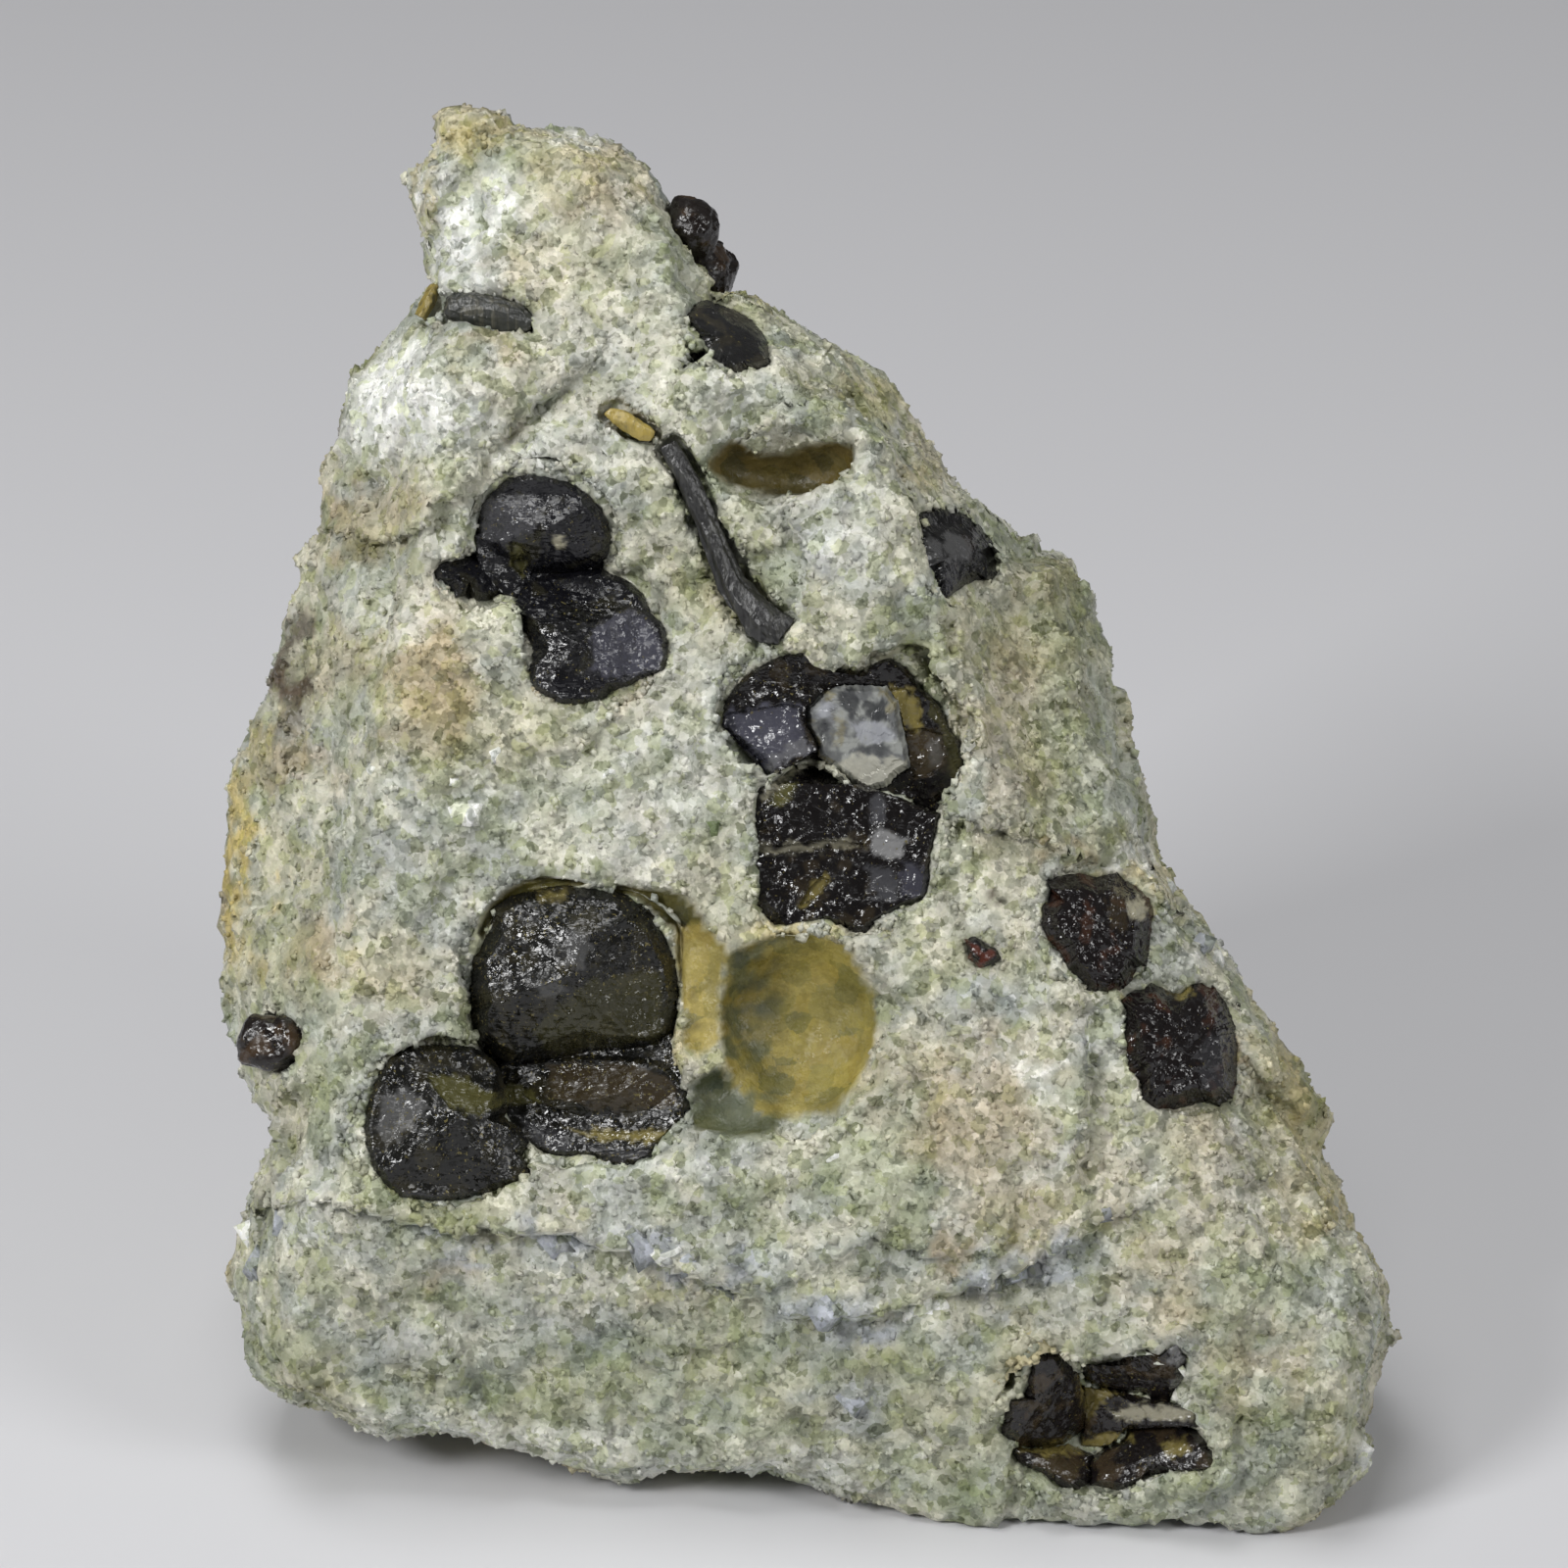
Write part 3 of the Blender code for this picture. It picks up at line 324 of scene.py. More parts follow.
# (across, up, half width, half height, strength), in mm on the crystal face.
STAINS_AND_PAINTED_LIGHT = {
    "rust": [
        (-21.6, 6.3, 2.9, 4.8, 0.75), (-30.0, 1.2, 3.4, 1.8, 0.65), (-25.5, 16.3, 3.2, 2.2, 0.60),
        (-18.6, 26.8, 2.6, 1.0, 0.45), (-28.5, -10.4, 2.0, 2.0, 0.50), (-10.8, 36.0, 2.0, 2.8, 0.50),
        (11.7, -20.6, 4.4, 5.2, 0.70), (10.2, -28.4, 1.7, 1.6, 0.75), (23.4, -29.6, 2.8, 4.2, 0.55),
        (29.0, -35.2, 2.8, 2.4, 0.45), (15.4, 6.4, 3.4, 4.4, 0.60), (16.4, -4.4, 2.0, 0.9, 0.80),
        (16.9, 12.4, 2.6, 2.6, 0.55), (-9.6, 5.6, 1.0, 1.2, 0.30), (27.8, -16.4, 0.8, 1.6, 0.85),
        (21.0, -13.0, 1.0, 0.7, 0.60), (-20.6, -29.6, 1.4, 1.0, 0.50), (12.6, 2.0, 1.0, 5.4, 0.45),
        (-27.6, 8.0, 2.4, 3.6, 0.40), (6.6, -18.0, 3.0, 2.4, 0.35), (14.0, -25.6, 4.0, 3.0, 0.45),
        (20.0, -24.0, 3.0, 3.0, 0.35), (14.4, 4.0, 3.0, 9.0, 0.45), (26.0, -24.0, 4.0, 5.0, 0.35),
        (-15.6, 31.0, 3.4, 1.8, 0.35), (-24.0, -12.4, 2.6, 1.8, 0.25),
    ],
    "ochre": [
        (-33.6, -4.2, 1.3, 7.8, 1.00), (-19.4, 39.9, 1.8, 1.2, 0.70), (31.0, -18.6, 1.9, 3.4, 0.70),
        (-22.2, 36.0, 0.7, 3.4, 0.60), (33.8, -26.0, 1.4, 1.6, 0.55), (5.6, 24.0, 3.2, 1.6, 0.50),
        (21.0, -5.8, 2.4, 1.2, 0.45), (-31.8, 2.6, 1.0, 1.8, 0.70), (9.0, 20.2, 1.4, 2.2, 0.45),
        (-13.0, -32.0, 2.4, 1.0, 0.30), (-18.0, 40.4, 3.4, 1.6, 0.60), (-12.0, 38.0, 4.0, 2.0, 0.40),
        (33.0, -22.0, 2.6, 6.0, 0.45), (1.4, -9.0, 2.6, 1.0, 0.65), (-6.6, -15.4, 0.9, 3.6, 0.50),
    ],
    "green": [
        (6.2, -23.2, 3.2, 3.8, 0.45), (-8.4, -37.6, 2.8, 3.2, 0.40), (-11.7, -0.6, 3.2, 3.2, 0.30),
        (-5.7, 12.4, 1.2, 2.2, 0.55), (17.8, 9.0, 2.6, 4.6, 0.35), (-28.2, 16.6, 0.7, 1.5, 0.60),
        (-29.2, 10.2, 1.0, 0.8, 0.50), (32.4, -18.4, 0.9, 3.0, 0.50), (19.8, 2.0, 1.6, 5.0, 0.35),
        (-29.0, -14.0, 2.2, 2.2, 0.30), (14.0, -13.6, 1.2, 1.2, 0.55), (0.4, -33.0, 7.0, 3.0, 0.28),
        (-20.0, 29.6, 1.2, 0.6, 0.50), (3.6, 23.6, 4.6, 0.9, 0.40), (30.6, -39.6, 3.0, 3.6, 0.30),
        (-23.6, -38.6, 1.6, 1.0, 0.55), (-17.6, -31.2, 1.4, 1.2, 0.40), (-11.6, -34.6, 2.0, 1.4, 0.45),
        (-4.4, -32.8, 1.2, 0.8, 0.50), (-14.0, -38.6, 1.6, 1.2, 0.40), (-4.0, -41.6, 1.4, 1.0, 0.50),
        (6.6, -42.0, 3.0, 1.4, 0.45), (12.0, -43.6, 3.0, 1.2, 0.45), (22.0, -44.4, 3.4, 1.0, 0.45),
        (-30.6, -34.8, 1.4, 2.2, 0.45), (8.0, -35.4, 1.8, 1.4, 0.40), (20.4, 12.0, 1.6, 3.0, 0.45),
        (-24.4, -24.0, 2.2, 1.8, 0.35), (22.4, 26.2, 3.2, 1.6, 0.40), (-17.4, 38.0, 2.4, 1.6, 0.40),
        (-19.0, 34.6, 1.0, 1.6, 0.35), (29.4, -31.0, 2.4, 2.4, 0.30), (-8.0, -37.0, 24.0, 5.0, 0.28),
        (20.0, -40.0, 12.0, 4.0, 0.28), (18.0, 3.0, 4.0, 9.0, 0.35), (-27.0, 4.6, 1.2, 2.0, 0.35),
    ],
    "white_and_bounce_light": [
        (-19.8, 33.6, 2.2, 3.4, 1.0), (-23.6, 23.4, 4.2, 3.2, 1.0), (-12.0, 39.2, 2.6, 0.8, 0.60),
        # Painted light: (-18.9, -40.3) is the floor's bounce light on the underside along the bottom left
        # edge.
        (-16.0, 19.8, 2.2, 1.1, 0.70), (-4.5, -23.4, 2.6, 1.4, 0.60), (-18.9, -40.3, 9.6, 1.6, 0.60),
        (21.6, -4.4, 1.4, 1.4, 0.70), (26.2, -10.0, 1.1, 0.8, 0.70), (35.3, -41.4, 0.8, 1.6, 0.80),
        (2.6, 16.0, 2.8, 3.0, 0.35), (-6.4, -0.4, 4.0, 2.0, 0.35), (-25.2, 10.6, 3.6, 1.4, 0.35),
        (-17.0, -23.8, 6.0, 0.7, 0.45), (-29.0, -26.0, 2.6, 2.4, 0.35), (14.6, -17.6, 2.0, 0.8, 0.45),
        (-3.6, 24.8, 2.6, 2.2, 0.40), (0.0, -42.0, 9.0, 0.8, 0.40),
    ],
    "bluish": [
        (-19.5, -28.6, 2.4, 0.8, 0.7), (-14.0, -27.6, 2.2, 1.0, 0.8), (-7.4, -28.2, 1.6, 1.3, 0.9),
        (-3.0, -30.6, 2.6, 0.9, 0.8), (2.6, -32.2, 3.0, 0.9, 0.8), (6.0, -33.4, 2.4, 1.0, 0.9),
        (12.4, -31.0, 2.4, 1.2, 0.8), (15.8, -29.2, 1.6, 1.4, 0.8), (4.0, -38.0, 2.4, 1.0, 0.6),
        (-12.0, -33.0, 3.0, 1.6, 0.4), (-24.0, -34.0, 2.6, 2.0, 0.4), (13.6, -13.0, 3.4, 1.0, 0.5),
        (18.4, -15.8, 0.8, 2.4, 0.5), (2.0, 13.6, 1.2, 2.0, 0.3), (28.0, -9.0, 1.8, 1.4, 0.5),
    ],
    "umber_and_shade": [
        # Painted shadow: (-16.2, 22.2) is the shade under the shoulder's ledge and (-3.4, -19.6) the shade
        # the lower garnets cast beside the round mould; the others are dark flakes and spots.
        (-16.2, 22.2, 1.6, 0.8, 0.40), (-30.9, 6.4, 1.3, 3.2, 1.00), (-30.2, 9.0, 0.9, 1.2, 0.80),
        (13.4, -7.6, 0.5, 0.4, 0.80), (13.4, -14.4, 0.7, 0.4, 0.50), (-3.4, -19.6, 2.0, 1.4, 0.25),
    ],
}
STAIN_WAVER = (2.2, 2.6, 4, 11.0, 23.0)             # like the wavers above
HIDDEN_STAIN = 0.55                                 # most of a stain on the sides that aren't seen
LINING_STAIN_AND_SHADE = np.array((0.085, 0.097, 0.058))      # greener and thicker epidote on the moulds' left, also darkened there as painted shade


def stains_and_painted_light_at(places, faces_eye):
    """Strength of each stain, and of each patch of painted shadow or bounce light among them, at each
    place.
    """
    across, up = wavering_face(places, *STAIN_WAVER)
    front = smooth_step(-0.05, 0.30, faces_eye)
    found = {}
    for index, (kind, patches) in enumerate(STAINS_AND_PAINTED_LIGHT.items()):
        strength = np.zeros(len(places))
        for at_across, at_up, half_across, half_up, most in patches:
            reach = np.hypot((across - at_across) / half_across, (up - at_up) / half_up)
            strength = np.maximum(strength, most * (1.0 - smooth_step(0.35, 1.50, reach)))
        everywhere = smooth_step(0.10, 0.55, lumps(places, 9.0 * MM, 3, 37.0 + 13.0 * index))
        if kind == "umber_and_shade":
            everywhere *= 0.2
        found[kind] = strength * front + HIDDEN_STAIN * everywhere * (1.0 - 0.72 * front)
    return found


def mixed(first, second, share):
    return first + (second - first) * np.asarray(share)[:, None]


def lining_colour(places):
    """The moulds' colours: paler towards the right of the round one as painted light, and greener and
    darker in clouds on its left, partly epidote and partly painted shade.
    """
    across, up, _ = on_face(places)
    nearest = np.argmax(depths_in_moulds(places), axis=0)
    colour = np.array([skin for _, _, skin, _ in MOULDS.values()])[nearest]
    # Painted light: the right side of the round mould is made paler, where its wall faces the light.
    right = smooth_step(-1.6, 1.6, across + 0.8 * lumps(places, 1.6 * MM, 2, 83.0)) * (nearest == 0)
    colour = colour * (1.0 + 0.30 * right)[:, None]
    # Painted shade over green epidote: clouds on the left of the moulds are darkened and greened.
    clouds = smooth_step(-0.1, 0.25, lumps(places, 1.8 * MM, 3, 71.0)) * (1.0 - right) * (nearest < 2)
    return mixed(colour, LINING_STAIN_AND_SHADE, 0.80 * clouds)


def rock_colour(places, faces_eye, base):
    """Stained colour at each place, with the patches of painted shadow and bounce light, over the mineral's
    own.
    """
    colour = base
    for kind, strength in stains_and_painted_light_at(places, faces_eye).items():
        colour = mixed(colour, np.array(STAIN_AND_PAINTED_LIGHT_COLOURS[kind]), np.clip(strength, 0.0, 1.0))
    return colour


def paint(piece, colours, crispness=1.0):
    """Stores a colour at each point of the mesh, for the material to read, and how grainy it is there."""
    layer = piece.data.color_attributes.new("tint", "FLOAT_COLOR", "POINT")
    rows = np.ones((len(colours), 4), np.float32)
    rows[:, :3] = np.clip(colours, 0.0, 1.0)
    rows[:, 3] = crispness
    layer.data.foreach_set("color", rows.ravel())


def node(tree, kind, **values):
    made = tree.nodes.new(kind)
    for name, value in values.items():
        if name in made.inputs:
            made.inputs[name].default_value = value
        else:
            setattr(made, name, value)
    return made


def new_material(name, roughness, ior=1.5):
    """A material with its node tree, its surface shader and the piece's own coordinates."""
    material = bpy.data.materials.new(name)
    material.use_nodes = True
    tree = material.node_tree
    surface = tree.nodes["Principled BSDF"]
    surface.inputs["Roughness"].default_value = roughness
    surface.inputs["IOR"].default_value = ior
    where = node(tree, "ShaderNodeTexCoord").outputs["Object"]
    return material, tree, surface, where


def noise_at(tree, where, scale, detail=3.0, roughness=0.55):
    made = node(tree, "ShaderNodeTexNoise", Scale=scale, Detail=detail, Roughness=roughness)
    tree.links.new(where, made.inputs["Vector"])
    return made.outputs["Fac"]


def give(tree, socket, value):
    """Links a value to a socket, or sets it there if it isn't another node's."""
    if isinstance(value, bpy.types.NodeSocket):
        tree.links.new(value, socket)
    else:
        socket.default_value = value


def between(tree, value, low, high, to_low=0.0, to_high=1.0):
    """A value taken from one range to another, with soft ends."""
    made = tree.nodes.new("ShaderNodeMapRange")
    made.interpolation_type = "SMOOTHSTEP"
    for name, number in {"From Min": low, "From Max": high, "To Min": to_low, "To Max": to_high}.items():
        made.inputs[name].default_value = number
    tree.links.new(value, made.inputs["Value"])
    return made.outputs["Result"]


def blend(tree, share, first, second, way="MIX"):
    """Two colours, given or linked, mixed by a share."""
    made = tree.nodes.new("ShaderNodeMix")
    made.data_type = "RGBA"
    made.blend_type = way
    for socket, value in ((made.inputs[0], share), (made.inputs[6], first), (made.inputs[7], second)):
        give(tree, socket, (*value, 1.0) if isinstance(value, tuple) else value)
    return made.outputs[2]


def bump(tree, surface, height, distance, strength=1.0):
    """Adds a bump under those that the surface has."""
    made = node(tree, "ShaderNodeBump", Distance=distance, Strength=strength)
    tree.links.new(height, made.inputs["Height"])
    before = surface.inputs["Normal"].links
    if before:
        tree.links.new(before[0].from_socket, made.inputs["Normal"])
    tree.links.new(made.outputs["Normal"], surface.inputs["Normal"])


def maths(tree, kind, way, *values):
    """A Math or Vector Math node over values that are given or linked."""
    made = node(tree, kind, operation=way)
    for socket, value in zip(made.inputs, values):
        give(tree, socket, value)
    return made.outputs[0]


def pushed(tree, before, colour, most):
    """A vector pushed each way by a colour, at most by a number that is given or linked."""
    centred = maths(tree, "ShaderNodeVectorMath", "SUBTRACT", colour, (0.5, 0.5, 0.5))
    scaled = node(tree, "ShaderNodeVectorMath", operation="SCALE")
    tree.links.new(centred, scaled.inputs[0])
    give(tree, scaled.inputs["Scale"], most)
    return maths(tree, "ShaderNodeVectorMath", "ADD", before, scaled.outputs[0])


def channels(tree, colour):
    made = node(tree, "ShaderNodeSeparateColor")
    tree.links.new(colour, made.inputs[0])
    return made.outputs


def ragged(tree, where, scale, reach):
    """Coordinates pushed about by noise, so that what is laid out on them has uneven edges."""
    push = node(tree, "ShaderNodeTexNoise", Scale=scale, Detail=2.0)
    tree.links.new(where, push.inputs["Vector"])
    return pushed(tree, where, push.outputs["Color"], reach)


def cells_at(tree, where, size):
    """A colour for each crystal grain of that size, drawn at random."""
    cells = node(tree, "ShaderNodeTexVoronoi", Scale=1.0 / size)
    tree.links.new(where, cells.inputs["Vector"])
    return cells.outputs["Color"]


def tilt(tree, surface, cells, most):
    """Turns each grain's face its own way, over the bumps that the surface has."""
    before = surface.inputs["Normal"].links[0].from_socket
    turned = pushed(tree, before, cells, most)
    tree.links.new(maths(tree, "ShaderNodeVectorMath", "NORMALIZE", turned), surface.inputs["Normal"])


def stepped(tree, value, colours):
    """One of the colours for each value, each from its own share of the way on."""
    ramp = tree.nodes.new("ShaderNodeValToRGB")
    ramp.color_ramp.interpolation = "CONSTANT"
    stops = ramp.color_ramp.elements
    while len(stops) < len(colours):
        stops.new(1.0)
    for stop, (share, colour) in zip(stops, colours):
        stop.position = share
        stop.color = (*colour, 1.0)
    tree.links.new(value, ramp.inputs["Fac"])
    return ramp.outputs["Color"]


GRAIN_SIZE = 0.70 * MM
FINE_GRAIN_SIZE = 0.34 * MM
SCALE_SIZE = 1.5 * MM                   # of the epidote scales on the moulds' lining
GRAIN_TONES = [
    # from this share of the grains on: what the grain's mineral does to the tint
    (0.00, (1.10, 1.10, 1.09)), (0.18, (0.98, 0.98, 0.96)), (0.44, (0.88, 0.89, 0.87)),
    (0.68, (0.84, 0.87, 0.70)), (0.84, (0.72, 0.74, 0.72)), (0.95, (0.57, 0.60, 0.48)),
]
LINING_TONES = [
    (0.00, (1.16, 1.16, 1.14)), (0.30, (0.86, 0.90, 0.88)), (0.60, (1.04, 1.00, 0.88)),
    (0.82, (0.60, 0.68, 0.76)),
]
FINE_TONES = [
    (0.00, (1.10, 1.10, 1.10)), (0.30, (1.00, 1.00, 0.96)), (0.62, (0.86, 0.88, 0.82)),
    (0.90, (0.66, 0.68, 0.60)),
]


def sugary_material(name):
    """Clear and milky grains that run into each other, each with its own tone and glittering face."""
    material, tree, surface, where = new_material(name, 0.4)
    tint = node(tree, "ShaderNodeAttribute", attribute_name="tint")
    crispness = tint.outputs["Alpha"]
    uneven = ragged(tree, where, 2600.0, 0.5 * MM)
    coarse, fine = cells_at(tree, uneven, GRAIN_SIZE), cells_at(tree, uneven, FINE_GRAIN_SIZE)
    scales = cells_at(tree, uneven, SCALE_SIZE)
    fine_share = maths(tree, "ShaderNodeMath", "MULTIPLY", crispness, 0.8)
    lining_share = maths(tree, "ShaderNodeMath", "SUBTRACT", 1.0, crispness)
    colour = tint.outputs["Color"]
    for share, cells, tones in (
        (crispness, coarse, GRAIN_TONES),
        (fine_share, fine, FINE_TONES),
        (lining_share, scales, LINING_TONES),
    ):
        tone = stepped(tree, channels(tree, cells)[0], tones)
        colour = blend(tree, share, colour, tone, "MULTIPLY")
    cloud = between(tree, noise_at(tree, where, 420.0, 6.0, 0.72), 0.3, 0.7, 0.76, 1.20)
    grey = node(tree, "ShaderNodeCombineColor")
    for channel in grey.inputs:
        tree.links.new(cloud, channel)
    colour = blend(tree, 1.0, colour, grey.outputs[0], "MULTIPLY")
    tree.links.new(colour, surface.inputs["Base Color"])
    roughness = between(tree, channels(tree, coarse)[1], 0.0, 1.0, 0.18, 0.60)
    tree.links.new(roughness, surface.inputs["Roughness"])
    bump(tree, surface, noise_at(tree, where, 1500.0, 5.0, 0.7), 0.14 * MM)
    tilt(tree, surface, coarse, maths(tree, "ShaderNodeMath", "MULTIPLY", crispness, 0.52))
    tilt(tree, surface, fine, maths(tree, "ShaderNodeMath", "MULTIPLY", crispness, 0.62))
    return material


def rock_base(places):
    """The rock's own colour at each place: milky, with greyer and greener clouds."""
    colour = np.tile(CALCITE, (len(places), 1))
    grey = smooth_step(-0.25, 0.35, lumps(places, 3.4 * MM))
    green = smooth_step(0.05, 0.45, lumps(places, 2.6 * MM, 3, 7.0))
    return mixed(mixed(colour, np.array(QUARTZ), 0.85 * grey), np.array(DIOPSIDE), 0.60 * green)


rock_lining_share = np.clip(rock_lining, 0.0, 1.0)
rock_tint = rock_colour(rock_places, rock_faces_eye, rock_base(rock_places))
rock_tint = mixed(rock_tint, lining_colour(rock_places), rock_lining_share)
paint(rock, rock_tint, 1.0 - 0.75 * rock_lining_share)
sugar = sugary_material("sugary rock")
rock.data.materials.clear()
rock.data.materials.append(sugar)
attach(rock, "root")
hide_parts("matrix_rock")
